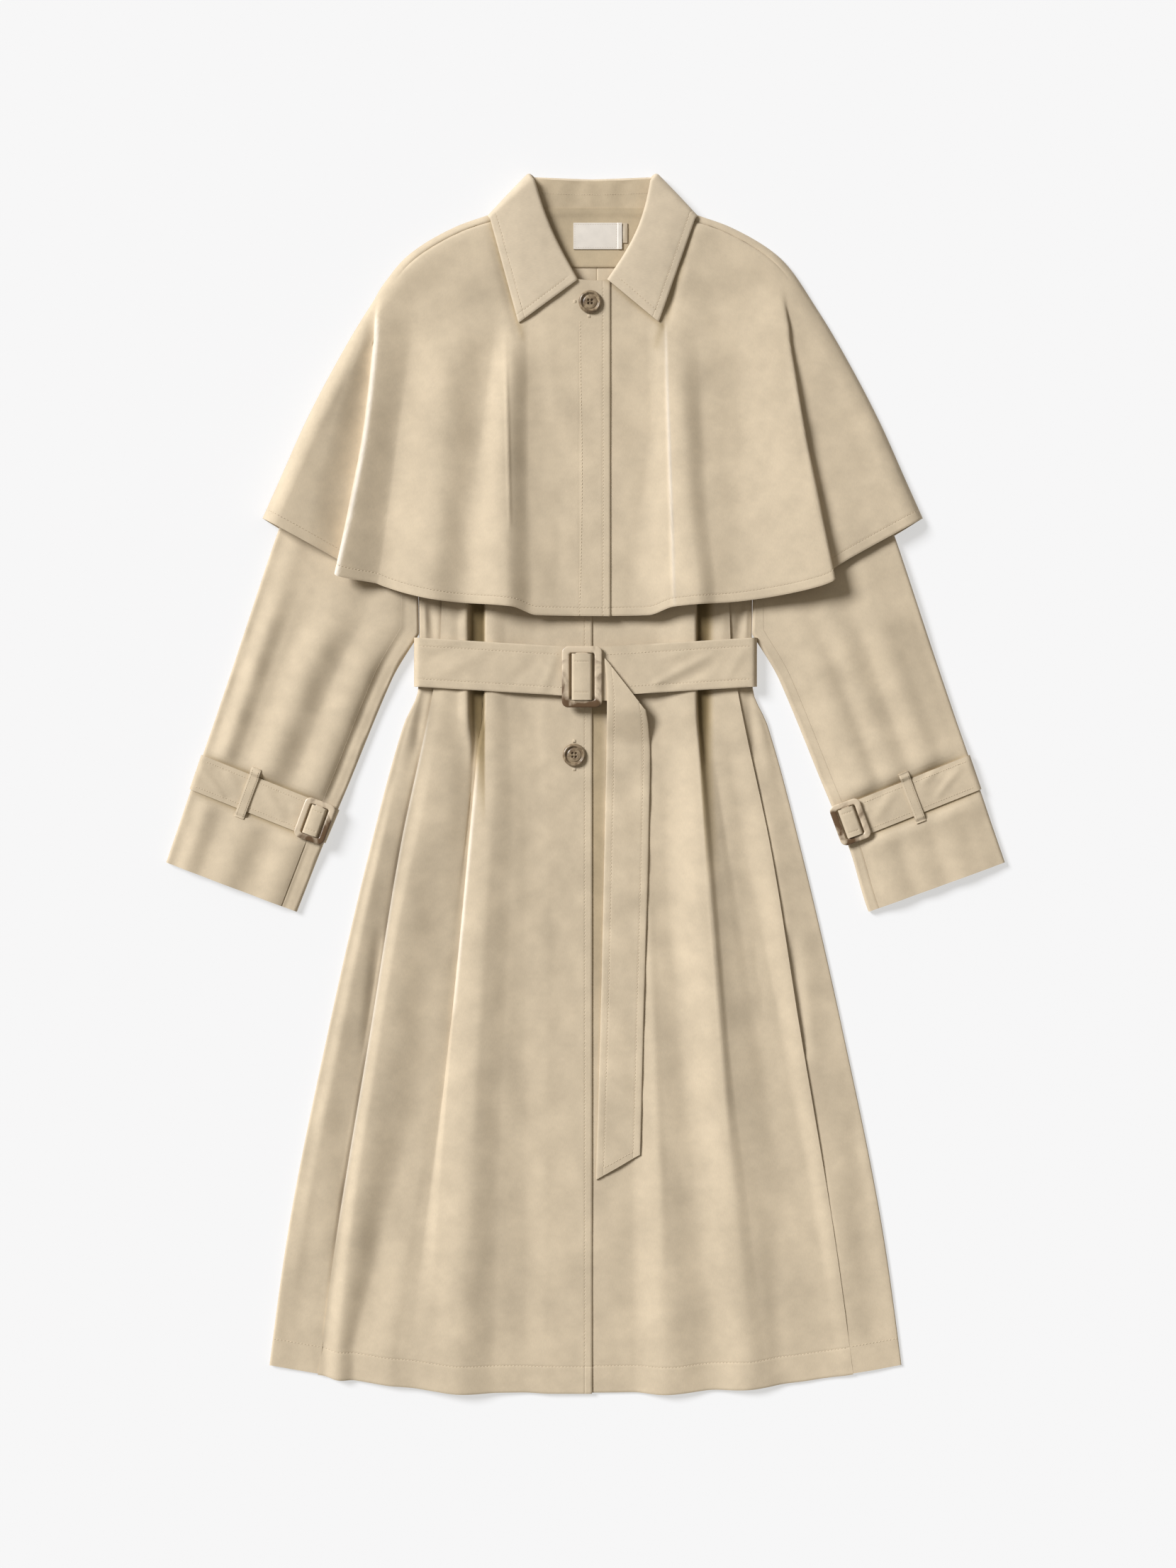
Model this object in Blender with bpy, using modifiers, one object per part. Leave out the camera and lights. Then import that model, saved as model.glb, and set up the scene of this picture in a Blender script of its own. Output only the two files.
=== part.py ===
"""Belted trench coat with a shoulder cape, laid flat on its back with its front up.

Metres. X runs across the coat, +Y from hem to collar, +Z up from the surface it lies on.
Left and right are as seen from above. Each cut piece is an open sheet moved into place
by a formula and thickened, and the layers are stacked from the surface up.
"""
import math
from collections import namedtuple

import bmesh
import bpy
import numpy as np

for old in list(bpy.data.objects):
    bpy.data.objects.remove(old, do_unlink=True)

# Cloth and spacing
CLOTH = 0.0012
BELT_CLOTH = 0.0016
SEAM = 0.0003
EASE = 0.0004

# Heights that one layer gives to the next
UNDER_LIFT = 0.0020        # the coat's back over the cape's back and the belt
NECK_LIFT = 0.0020         # everything over the collar's back leaf
FRONT_OVER_BACK = 0.0022
FRONT_OVERLAP = 0.0018     # one front, or one cape front, over the other
SIDE_FOLD = 0.0026         # radius of the coat's folded side edge
SLEEVE_FOLD = 0.0032
CAPE_BASE = 0.0096
CAPE_HEM_RISE = 0.0046
CAPE_ROLL = 0.018          # width over which the cape's side edge rolls down

# Ramps: the height along the coat where a lift starts, and the length it takes
Ramp = namedtuple("Ramp", "start length")
NECK_RAMP = Ramp(start=0.485, length=0.040)
BACK_LEAD, CAPE_LEAD = 0.010, 0.012    # a layer above the neck's ramp starts this much before it
BELT_RAMP = Ramp(start=0.035, length=0.045)
SKIRT_EDGE_RAMP = Ramp(start=0.18, length=-0.10)
CAPE_HEM_RAMP = Ramp(start=0.34, length=-0.12)
SLEEVE_RAMP = Ramp(start=0.12, length=0.06)
TAIL_RAMP = Ramp(start=0.010, length=0.050)
# Ramps across the coat, where the front on top climbs on the one below
COAT_OVERLAP_RAMP = Ramp(start=-0.062, length=0.026)
CAPE_OVERLAP_RAMP = Ramp(start=-0.060, length=0.030)

# Middle line of the neck, collar and cape, which lie a little to the right of the coat's
NECK_X = 0.007
LEFT, RIGHT = -1, 1

# Coat body: half width at the folded edge, and at the seam that joins the front
Girth = namedtuple("Girth", "y edge seam")
BODY = (
    Girth(y=0.600, edge=0.158, seam=0.151),
    Girth(y=0.280, edge=0.164, seam=0.156),
    Girth(y=0.190, edge=0.165, seam=0.142),
    Girth(y=0.146, edge=0.1645, seam=0.143),
    Girth(y=0.096, edge=0.1655, seam=0.150),
    Girth(y=0.060, edge=0.180, seam=0.157),
    Girth(y=-0.062, edge=0.213, seam=0.183),
    Girth(y=-0.235, edge=0.253, seam=0.211),
    Girth(y=-0.445, edge=0.295, seam=0.246),
    Girth(y=-0.620, edge=0.319, seam=0.270),
)
OVER_FRONT_EDGE = 0.006    # the front that lies on top ends here, right of the middle
UNDER_FRONT_EDGE = -0.028
HEM_MIDDLE = -0.6005
HEM_SIDE = -0.5745
HEM_HALF = 0.315
HEM_POWER = 2.2
SEAM_TUCK = 0.003          # the side strip runs on this far under the front
BACK_SHORTER = 0.004
FOLD_DIP = 0.45            # how far a fold's crest lowers the hem, as a share of its rise
DIP_SHARE = 0.08           # over this share of the coat's length

# Neckline and shoulder, by distance from the neck's middle line
Mark = namedtuple("Mark", "out y")
FRONT_TOP = (
    Mark(out=-0.040, y=0.495),
    Mark(out=0.018, y=0.496),
    Mark(out=0.040, y=0.505),
    Mark(out=0.060, y=0.540),
    Mark(out=0.072, y=0.560),
    Mark(out=0.100, y=0.544),
    Mark(out=0.150, y=0.520),
    Mark(out=0.175, y=0.508),
)
BACK_TOP = (
    Mark(out=0.000, y=0.569),
    Mark(out=0.066, y=0.566),
    Mark(out=0.100, y=0.544),
    Mark(out=0.150, y=0.520),
    Mark(out=0.175, y=0.508),
)

# Cape, by distance from the neck's middle line
CAPE_SIDE = (
    Mark(out=0.0785, y=0.5715),
    Mark(out=0.0940, y=0.5515),
    Mark(out=0.136, y=0.549),
    Mark(out=0.185, y=0.520),
    Mark(out=0.222, y=0.470),
    Mark(out=0.255, y=0.414),
    Mark(out=0.284, y=0.358),
    Mark(out=0.309, y=0.302),
    Mark(out=0.326, y=0.264),
)
CAPE_NECK = (
    Mark(out=-0.017, y=0.496),
    Mark(out=0.018, y=0.493),
    Mark(out=0.038, y=0.505),
    Mark(out=0.057, y=0.540),
    Mark(out=0.0785, y=0.5715),
)
CAPE_HEM = (
    Mark(out=-0.017, y=0.167),
    Mark(out=0.055, y=0.168),
    Mark(out=0.080, y=0.176),
    Mark(out=0.150, y=0.182),
    Mark(out=0.205, y=0.196),
    Mark(out=0.255, y=0.225),
    Mark(out=0.326, y=0.264),
)
CAPE_BACK_DROP = 0.105
CAPE_BACK_POWER = 1.3
CAPE_BACK_NECK_SAG = 0.004
CAPE_COLUMN_POWER = 1.35   # above 1, the columns stand closer towards the side

# Folds: stations from top to foot. Reach is the half width to each side of the crest,
# lean is how far the crest is pushed over sideways.
Fold = namedtuple("Fold", "x y left right rise lean")
CAPE_LEFT_FOLDS = (
    Fold(x=(-0.201, -0.207, -0.216), y=(0.482, 0.360, 0.205), left=(0.012, 0.020, 0.030),
         right=(0.020, 0.030, 0.042), rise=(0.003, 0.009, 0.015), lean=(-0.003, -0.010, -0.026)),
    Fold(x=(-0.145, -0.143, -0.139), y=(0.430, 0.330, 0.180), left=(0.020, 0.028, 0.036),
         right=(0.014, 0.016, 0.020), rise=(0.001, 0.004, 0.007), lean=(0.0, 0.0, 0.004)),
    Fold(x=(-0.073, -0.072, -0.071), y=(0.418, 0.320, 0.175), left=(0.020, 0.025, 0.030),
         right=(0.018, 0.020, 0.026), rise=(0.003, 0.008, 0.012), lean=(0.0, 0.002, 0.004)),
)
CAPE_RIGHT_FOLDS = (
    Fold(x=(0.086, 0.089, 0.093), y=(0.418, 0.320, 0.172), left=(0.018, 0.020, 0.024),
         right=(0.020, 0.024, 0.030), rise=(0.003, 0.008, 0.011), lean=(0.0, 0.002, 0.004)),
    Fold(x=(0.132, 0.138, 0.146), y=(0.426, 0.320, 0.183), left=(0.016, 0.018, 0.020),
         right=(0.014, 0.016, 0.018), rise=(0.001, 0.002, 0.004), lean=(0.0, 0.0, 0.0)),
    Fold(x=(0.191, 0.203, 0.221), y=(0.490, 0.360, 0.203), left=(0.026, 0.040, 0.052),
         right=(0.012, 0.020, 0.028), rise=(0.003, 0.008, 0.014), lean=(0.003, 0.009, 0.020)),
)
FRONT_LEFT_FOLDS = (
    Fold(x=(-0.090, -0.091, -0.110), y=(0.200, 0.070, -0.610), left=(0.014, 0.016, 0.050),
         right=(0.024, 0.030, 0.036), rise=(0.006, 0.007, 0.013), lean=(-0.008, -0.008, 0.002)),
    Fold(x=(-0.150, -0.160, -0.178), y=(-0.260, -0.420, -0.600), left=(0.024, 0.028, 0.032),
         right=(0.018, 0.020, 0.022), rise=(0.001, 0.004, 0.007), lean=(0.0, 0.0, 0.0)),
)
FRONT_RIGHT_FOLDS = (
    Fold(x=(0.100, 0.103, 0.171), y=(0.200, 0.070, -0.600), left=(0.026, 0.034, 0.044),
         right=(0.014, 0.016, 0.032), rise=(0.006, 0.007, 0.012), lean=(0.008, 0.008, 0.002)),
    Fold(x=(0.067, 0.070, 0.078), y=(-0.200, -0.400, -0.605), left=(0.022, 0.026, 0.030),
         right=(0.020, 0.024, 0.028), rise=(0.001, 0.005, 0.009), lean=(0.0, 0.0, 0.002)),
)
FOLD_FADE = 0.05           # length over which a fold dies away above its top
SEAM_EDGE_RISE = 0.0036    # the fronts stand proud of the wrapped side along the seam
SKIRT_EDGE_RISE = 0.0026   # and more so in the skirt
SEAM_EDGE_REACH = 0.030

# Sleeves: ribs from the shoulder to the cuff, from the outer edge to the inner edge
Rib = namedtuple("Rib", "outer_x outer_y inner_x inner_y")
SLEEVE = (
    Rib(outer_x=0.1850, outer_y=0.494, inner_x=0.160, inner_y=0.470),
    Rib(outer_x=0.2150, outer_y=0.446, inner_x=0.160, inner_y=0.385),
    Rib(outer_x=0.2500, outer_y=0.384, inner_x=0.160, inner_y=0.300),
    Rib(outer_x=0.2760, outer_y=0.328, inner_x=0.160, inner_y=0.236),
    Rib(outer_x=0.3066, outer_y=0.244, inner_x=0.164, inner_y=0.184),
    Rib(outer_x=0.3346, outer_y=0.160, inner_x=0.1918, inner_y=0.104),
    Rib(outer_x=0.3724, outer_y=0.048, inner_x=0.2373, inner_y=-0.006),
    Rib(outer_x=0.3950, outer_y=-0.018, inner_x=0.2640, inner_y=-0.070),
    Rib(outer_x=0.4150, outer_y=-0.076, inner_x=0.2856, inner_y=-0.125),
)
Flute = namedtuple("Flute", "across reach rise")
SLEEVE_FLUTES = (
    Flute(across=0.18, reach=0.13, rise=0.004),
    Flute(across=0.52, reach=0.17, rise=0.006),
    Flute(across=0.86, reach=0.13, rise=0.004),
)
SLEEVE_FRONT_SEAM = 0.10   # share of the width, from the inner edge
SLEEVE_BACK_SEAM = 0.16
STRAP_TOP, STRAP_FOOT = 0.177, 0.120   # share of the sleeve's length, from the cuff
STRAP_LIFT_REACH = 0.05
STRAP_LIFT_PAST = 0.01
SLEEVE_CLEAR = 0.0007      # from the coat's folded edge
FLUTE_CUFF_RAMP = Ramp(start=STRAP_TOP + 0.02, length=0.12)
FLUTE_CAPE_RAMP = Ramp(start=0.50, length=-0.12)
FLUTE_END_RAMP = Ramp(start=0.62, length=-0.12)
FLUTE_UNDER_CAPE = 0.35    # share of a flute's rise that goes on under the cape
SEAM_SHARE = 0.0012        # half of the gap at a sleeve's seam, as a share of its width

# Collar
COLLAR_CLOTH = 0.0016
COLLAR_FRONT_Z = 0.0153    # inner face of the leaves that lie on the cape
COLLAR_ROLL = 0.0016       # inner radius of the roll at the fold
STAND_CLEAR = 0.0006       # between the stand and the fall
LEAF_FRONT_END = Mark(out=0.0145, y=0.4995)
LEAF_TIP = Mark(out=0.070, y=0.4575)
FOLD_CORNER = Mark(out=0.0567, y=0.5965)
LEAF_CORNER = Mark(out=0.0978, y=0.5570)
BACK_FOLD_Y = 0.5975
BACK_LEAF_Y = 0.538
STAND_FRONT_END, STAND_SHOULDER, STAND_BACK = 0.0065, 0.0280, 0.0270   # from fold to seam

# Inside the neck
FACING_FOOT, FACING_TOP = 0.5125, 0.5690
FACING_FOOT_HALF, FACING_TOP_HALF = 0.038, 0.068
LABEL_X, LABEL_Y, LABEL_SIZE = 0.012, 0.543, (0.048, 0.026)
TAB_X, TAB_Y, TAB_SIZE = 0.0395, 0.546, (0.005, 0.020)
LABEL_CLOTH = 0.0010
FACING_CLEAR = 0.0005

# Belt
BELT_HALF_WIDTH = 0.0242
BELT_HALF_SPAN = 0.1695
BELT_TOP = 0.0148
BELT_CORNER = 0.0060
BELT_SIDE_Y, BELT_MIDDLE_Y = 0.1218, 0.1115
TAIL_CLOTH = 0.0012
BUCKLE_BASE = 0.0168
Edge = namedtuple("Edge", "left_x left_y right_x right_y")
TAIL = (
    Edge(left_x=0.0190, left_y=0.126, right_x=0.0590, right_y=0.074),
    Edge(left_x=0.0215, left_y=0.090, right_x=0.0620, right_y=0.058),
    Edge(left_x=0.0210, left_y=0.040, right_x=0.0635, right_y=0.030),
    Edge(left_x=0.0190, left_y=-0.060, right_x=0.0620, right_y=-0.060),
    Edge(left_x=0.0155, left_y=-0.220, right_x=0.0575, right_y=-0.220),
    Edge(left_x=0.0105, left_y=-0.390, right_x=0.0540, right_y=-0.365),
)
TONGUE_X = 0.0078          # the tail comes out of the buckle from here
TONGUE_TOP_IN, TONGUE_FOOT_IN, TONGUE_FOLD_IN = 0.002, 0.006, 0.0015
TAIL_CLEAR = 0.0010

# Buckles and buttons
Buckle = namedtuple("Buckle", "width height slot bar side end thick")
BELT_BUCKLE = Buckle(width=0.0396, height=0.0605, slot=0.0052, bar=0.0146, side=0.0073,
                     end=0.0068, thick=0.0030)
CUFF_BUCKLE = Buckle(width=0.0315, height=0.0415, slot=0.0045, bar=0.0105, side=0.0060,
                     end=0.0055, thick=0.0026)
BELT_BUCKLE_AT = (-0.0035, 0.1070)
CUFF_BUCKLE_AT = {LEFT: (-0.2672, -0.0350), RIGHT: (0.2612, -0.0360)}
BUCKLE_CORNER = 0.0060
BUCKLE_SLOT_CORNER = 0.0012
BUCKLE_BEVEL = 0.0005
END_SIDE_CLEAR, END_TIP_CLEAR = 0.0002, 0.0006
BUTTON_RADIUS = 0.0114
BUTTON_CLEAR = 0.0004
BUTTON_HOLE_RADIUS = 0.0011
BUTTON_HOLE_OUT = 0.0022
NECK_BUTTON_AT = (0.0046, 0.4770)
FRONT_BUTTON_AT = (-0.0112, 0.0300)

COLOURS = {
    "gabardine": ((0.62, 0.52, 0.38), 0.85),
    "gabardine_inside": ((0.50, 0.40, 0.27), 0.88),
    "label_weave": ((0.72, 0.66, 0.58), 0.80),
    "horn_dark": ((0.10, 0.055, 0.030), 0.35),
    "horn_pale": ((0.60, 0.46, 0.31), 0.35),
}

parts = bpy.data.collections.new("trench_cape")
cutters = bpy.data.collections.new("trench_cape_cutters")
for collection in (parts, cutters):
    bpy.context.scene.collection.children.link(collection)
garment = bpy.data.objects.new("garment", None)
parts.objects.link(garment)


def material(name):
    """One Principled material, made once."""
    if name in bpy.data.materials:
        return bpy.data.materials[name]
    colour, roughness = COLOURS[name]
    made = bpy.data.materials.new(name)
    made.use_nodes = True
    shader = made.node_tree.nodes["Principled BSDF"]
    shader.inputs["Base Color"].default_value = (*colour, 1.0)
    shader.inputs["Roughness"].default_value = roughness
    shader.inputs["Metallic"].default_value = 0.0
    return made


def ease(t):
    """Smooth step from 0 to 1."""
    t = np.clip(t, 0.0, 1.0)
    return t * t * (3.0 - 2.0 * t)


def smooth_through(knots, values, at):
    """Monotone cubic through the knots, which run upward."""
    knots, values, at = np.asarray(knots, float), np.asarray(values, float), np.asarray(at, float)
    step = np.diff(knots)
    slope = np.diff(values) / step
    tangent = np.empty_like(values)
    tangent[0], tangent[-1] = slope[0], slope[-1]
    same_way = slope[:-1] * slope[1:] > 0
    safe = np.where(same_way, slope[:-1] + slope[1:], 1.0)
    tangent[1:-1] = np.where(same_way, 2.0 * slope[:-1] * slope[1:] / safe, 0.0)
    i = np.clip(np.searchsorted(knots, at) - 1, 0, len(step) - 1)
    t = np.clip((at - knots[i]) / step[i], 0.0, 1.0)
    h00, h10 = 2 * t**3 - 3 * t**2 + 1, t**3 - 2 * t**2 + t
    h01, h11 = -2 * t**3 + 3 * t**2, t**3 - t**2
    return (h00 * values[i] + h10 * step[i] * tangent[i]
            + h01 * values[i + 1] + h11 * step[i] * tangent[i + 1])


def columns(table, *names):
    return [np.array([getattr(row, name) for row in table]) for name in names]


def by_height(table, name, y):
    """A column of a table read at height y."""
    level, value = columns(table, "y", name)
    order = np.argsort(level)
    return smooth_through(level[order], value[order], y)


def along(table, names, share):
    """Point at a share of the way along a table of points."""
    points = np.stack(columns(table, *names), axis=1)
    run = np.concatenate([[0.0], np.cumsum(np.linalg.norm(np.diff(points, axis=0), axis=1))])
    return [smooth_through(run / run[-1], points[:, k], share) for k in range(points.shape[1])]


def climb(ramp, at):
    """0 before a ramp, 1 after it, with a smooth step between."""
    return ease((at - ramp.start) / ramp.length)


def neck_lift(y):
    return NECK_LIFT * climb(NECK_RAMP, y)


def back_lift(y):
    """Height of the coat's back: flat on the surface in the skirt, over the belt above it."""
    return UNDER_LIFT * climb(BELT_RAMP, y) + neck_lift(y + BACK_LEAD)


def fold_shift(folds, x, y):
    """Sideways shift and rise at x, y. Each fold is a cosine bump across its crest line."""
    shift, rise = np.zeros_like(x), np.zeros_like(x)
    for fold in folds:
        level = np.array(fold.y[::-1])

        def at(values):
            return smooth_through(level, values[::-1], y)

        off = x - at(fold.x)
        reach = np.where(off < 0, at(fold.left), at(fold.right))
        bump = 0.5 + 0.5 * np.cos(np.pi * np.clip(np.abs(off) / reach, 0.0, 1.0))
        bump = bump * ease(1.0 - (y - fold.y[0]) / FOLD_FADE)
        shift = shift + at(fold.lean) * bump
        rise = rise + at(fold.rise) * bump
    return shift, rise


def cloth(name, us, vs, place, thick=CLOTH, grow=1, look="gabardine", ring=False):
    """A sheet of len(us) by len(vs) points put in place by place(u, v), then thickened."""
    us, vs = np.asarray(us, float), np.asarray(vs, float)
    shape = bmesh.new()
    bmesh.ops.create_grid(shape, x_segments=len(us) - 1, y_segments=len(vs) - 1, size=1.0)
    flat = np.array([vert.co[:2] for vert in shape.verts])
    i = np.rint((flat[:, 0] + 1.0) / 2.0 * (len(us) - 1)).astype(int)
    j = np.rint((flat[:, 1] + 1.0) / 2.0 * (len(vs) - 1)).astype(int)
    for vert, point in zip(shape.verts, np.stack(place(us[i], vs[j]), axis=1)):
        vert.co = point
    if ring:
        bmesh.ops.remove_doubles(shape, verts=shape.verts, dist=1e-6)
    mesh = bpy.data.meshes.new(name)
    shape.to_mesh(mesh)
    shape.free()
    mesh.shade_smooth()
    made = put(name, mesh, look)
    wall = made.modifiers.new("wall", "SOLIDIFY")
    wall.thickness = thick
    wall.offset = grow
    return made


def put(name, data, look, location=(0.0, 0.0, 0.0), turn=0.0):
    made = bpy.data.objects.new(name, data)
    data.materials.append(material(look))
    made.location = location
    made.rotation_euler = (0.0, 0.0, turn)
    made.parent = garment
    parts.objects.link(made)
    return made


# Coat body

def hem_y(x):
    """Lower edge of the coat: a shallow arc."""
    return HEM_MIDDLE + (HEM_SIDE - HEM_MIDDLE) * (np.abs(x) / HEM_HALF) ** HEM_POWER


def body_y(x_hem, out_top, v, top, shorter=0.0):
    """Height along a column, from the hem (v=0) to the top edge (v=1)."""
    low = hem_y(x_hem) + shorter
    out, level = columns(top, "out", "y")
    high = smooth_through(out, level, out_top)
    return low + v * (high - low)


def coat_back_at(u, v):
    """Flat back with folded sides. u runs 0 to 5: strip, fold, flat, fold, strip."""
    zone = np.clip(np.floor(u), 0, 4)
    t = u - zone
    across = np.select([zone <= 1, zone == 2, zone >= 3], [-1.0 + 0 * t, 2 * t - 1, 1.0 + 0 * t])
    shorter = BACK_SHORTER * (1 - across**6)
    y = body_y(across * BODY[-1].edge, np.abs(across * BODY[0].edge - NECK_X), v, BACK_TOP, shorter)
    edge = by_height(BODY, "edge", y)
    inner = by_height(BODY, "seam", y) - SEAM_TUCK
    low = back_lift(y)
    flat_edge = edge - SIDE_FOLD
    turn = np.pi * t
    x = np.select(
        [zone == 0, zone == 1, zone == 2, zone == 3],
        [-inner - (flat_edge - inner) * t, -flat_edge - SIDE_FOLD * np.sin(turn),
         flat_edge * (2 * t - 1), flat_edge + SIDE_FOLD * np.sin(turn)],
        flat_edge - (flat_edge - inner) * t)
    z = low + np.select(
        [zone == 0, zone == 1, zone == 2, zone == 3],
        [2 * SIDE_FOLD + 0 * t, SIDE_FOLD * (1 + np.cos(turn)), 0 * t, SIDE_FOLD * (1 - np.cos(turn))],
        2 * SIDE_FOLD)
    return x, y, z


def front_under(side, x, y):
    """Underside of a coat front at a plan point, with the sideways shift of its folds."""
    folds = FRONT_LEFT_FOLDS if side == LEFT else FRONT_RIGHT_FOLDS
    shift, rise = fold_shift(folds, x, y)
    z = back_lift(y) + FRONT_OVER_BACK + rise
    inside = by_height(BODY, "seam", y) - np.abs(x)
    edge_rise = SEAM_EDGE_RISE + SKIRT_EDGE_RISE * climb(SKIRT_EDGE_RAMP, y)
    z = np.maximum(z, back_lift(y) + FRONT_OVER_BACK + edge_rise * ease(1.0 - inside / SEAM_EDGE_REACH))
    if side == LEFT:
        z = z + FRONT_OVERLAP * climb(COAT_OVERLAP_RAMP, x)
    return x + shift, z


def coat_front_at(side):
    middle = OVER_FRONT_EDGE if side == LEFT else UNDER_FRONT_EDGE

    def place(u, v):
        share = u if side == RIGHT else 1.0 - u
        top_x = middle + (side * BODY[0].seam - middle) * share
        hem_x = middle + (side * BODY[-1].seam - middle) * share
        y = body_y(hem_x, side * (top_x - NECK_X), v, FRONT_TOP)
        seam = by_height(BODY, "seam", y)
        x = middle + (side * seam - middle) * share
        moved, z = front_under(side, x, y)
        rise = z - back_lift(y) - FRONT_OVER_BACK
        return moved, y - FOLD_DIP * rise * ease(1.0 - v / DIP_SHARE), z
    return place


# Rows stand closer at the waist, as shares of the length from the hem
BODY_ROWS = np.concatenate([np.linspace(0.0, 0.54, 14), np.linspace(0.57, 0.72, 8),
                            np.linspace(0.78, 1.0, 5)])
BACK_ROWS = np.concatenate([np.linspace(0.0, 0.52, 7), np.linspace(0.555, 0.66, 6),
                            np.linspace(0.76, 1.0, 6)])
BACK_COLUMNS = np.concatenate([np.linspace(0, 1, 3), np.linspace(1, 2, 4)[1:], np.linspace(2, 3, 7)[1:],
                               np.linspace(3, 4, 4)[1:], np.linspace(4, 5, 3)[1:]])
cloth("coat_back", BACK_COLUMNS, BACK_ROWS, coat_back_at)
cloth("coat_front_left", np.linspace(0, 1, 15), BODY_ROWS, coat_front_at(LEFT))
cloth("coat_front_right", np.linspace(0, 1, 15), BODY_ROWS, coat_front_at(RIGHT))


# Cape

def cape_back_at(u, v):
    """Back of the cape, flat on the surface: rows sag from side to side."""
    out, y = along(CAPE_SIDE, ("out", "y"), 1.0 - v)
    across = 2 * u - 1
    sag = CAPE_BACK_DROP * (1 - v) ** CAPE_BACK_POWER + CAPE_BACK_NECK_SAG * v
    y = y - sag * (1 - across**2)
    return NECK_X + across * out, y, neck_lift(y)


def cape_base(y):
    """Underside of the cape's fronts, over the sleeves, the coat's fronts and the neck."""
    return CAPE_BASE + CAPE_HEM_RISE * climb(CAPE_HEM_RAMP, y) + neck_lift(y + CAPE_LEAD)


def cape_front_at(side):
    folds = CAPE_LEFT_FOLDS if side == LEFT else CAPE_RIGHT_FOLDS

    def place(u, v):
        share = u if side == RIGHT else 1.0 - u
        share = 1.0 - (1.0 - share) ** CAPE_COLUMN_POWER
        neck_out, neck_y = along(CAPE_NECK, ("out", "y"), share)
        hem_out, hem_level = along(CAPE_HEM, ("out", "y"), share)
        side_out, side_y = along(CAPE_SIDE, ("out", "y"), 1.0 - v)
        last_out = CAPE_NECK[-1].out * v**2 + CAPE_HEM[-1].out * (1 - v**2)
        last_y = CAPE_NECK[-1].y * v + CAPE_HEM[-1].y * (1 - v)
        out = neck_out * v**2 + hem_out * (1 - v**2) + share * (side_out - last_out)
        y = neck_y * v + hem_level * (1 - v) + share * (side_y - last_y)
        x = NECK_X + side * out
        shift, rise = fold_shift(folds, x, y)
        base = cape_base(y)
        if side == LEFT:
            base = base + FRONT_OVERLAP * climb(CAPE_OVERLAP_RAMP, x)
        z = base + rise
        edge = CLOTH + neck_lift(y) + SEAM
        roll = np.clip(np.hypot(side_out - out, side_y - y) / CAPE_ROLL, 0.0, 1.0)
        z = edge + (z - edge) * np.sqrt(1.0 - (1.0 - roll) ** 2)
        return x + shift, y, z
    return place


cloth("cape_back", np.linspace(0, 1, 11), np.linspace(0, 1, 11), cape_back_at)
cloth("cape_front_left", np.linspace(0, 1, 27), np.linspace(0, 1, 17), cape_front_at(LEFT))
cloth("cape_front_right", np.linspace(0, 1, 27), np.linspace(0, 1, 17), cape_front_at(RIGHT))


# Sleeves

def sleeve_at(side, out_by=0.0):
    """Outer face of a sleeve. u goes round it: 0-1 top from the inner edge, 1-2 outer fold,
    2-3 underside, 3-4 inner fold. v runs from the cuff (0) to the shoulder (1)."""
    def place(u, v):
        zone = np.floor(np.mod(u, 4.0))
        t = np.mod(u, 4.0) - zone
        ox, oy, ix, iy = along(SLEEVE, ("outer_x", "outer_y", "inner_x", "inner_y"), 1.0 - v)
        ix = np.maximum(ix, by_height(BODY, "edge", iy) + SLEEVE_CLEAR)
        dx, dy = ox - ix, oy - iy
        width = np.hypot(dx, dy)
        dx, dy = dx / width, dy / width
        radius = SLEEVE_FOLD + out_by
        past_strap = np.abs(v - (STRAP_TOP + STRAP_FOOT) / 2) - (STRAP_TOP - STRAP_FOOT) / 2
        near_strap = ease(1.0 - (past_strap - STRAP_LIFT_PAST) / STRAP_LIFT_REACH)
        low = UNDER_LIFT * np.maximum(climb(SLEEVE_RAMP, oy), near_strap)
        turn = np.pi * t
        a = np.select([zone == 0, zone == 1, zone == 2],
                      [SLEEVE_FOLD + (width - 2 * SLEEVE_FOLD) * t,
                       width - SLEEVE_FOLD + radius * np.sin(turn),
                       SLEEVE_FOLD + (width - 2 * SLEEVE_FOLD) * (1 - t)],
                      SLEEVE_FOLD - radius * np.sin(turn))
        z = low + SLEEVE_FOLD + np.select([zone == 0, zone == 1, zone == 2],
                                          [radius + 0 * t, radius * np.cos(turn), -radius + 0 * t],
                                          -radius * np.cos(turn))
        grow = climb(FLUTE_CUFF_RAMP, v) * climb(FLUTE_END_RAMP, v)
        grow = grow * (FLUTE_UNDER_CAPE + (1 - FLUTE_UNDER_CAPE) * climb(FLUTE_CAPE_RAMP, v))
        for flute in SLEEVE_FLUTES:
            q = np.clip(np.abs(t - flute.across) / flute.reach, 0.0, 1.0)
            z = z + np.where(zone == 0, flute.rise * grow * (0.5 + 0.5 * np.cos(np.pi * q)), 0.0)
        return side * (ix + dx * a), iy + dy * a, z
    return place


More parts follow.
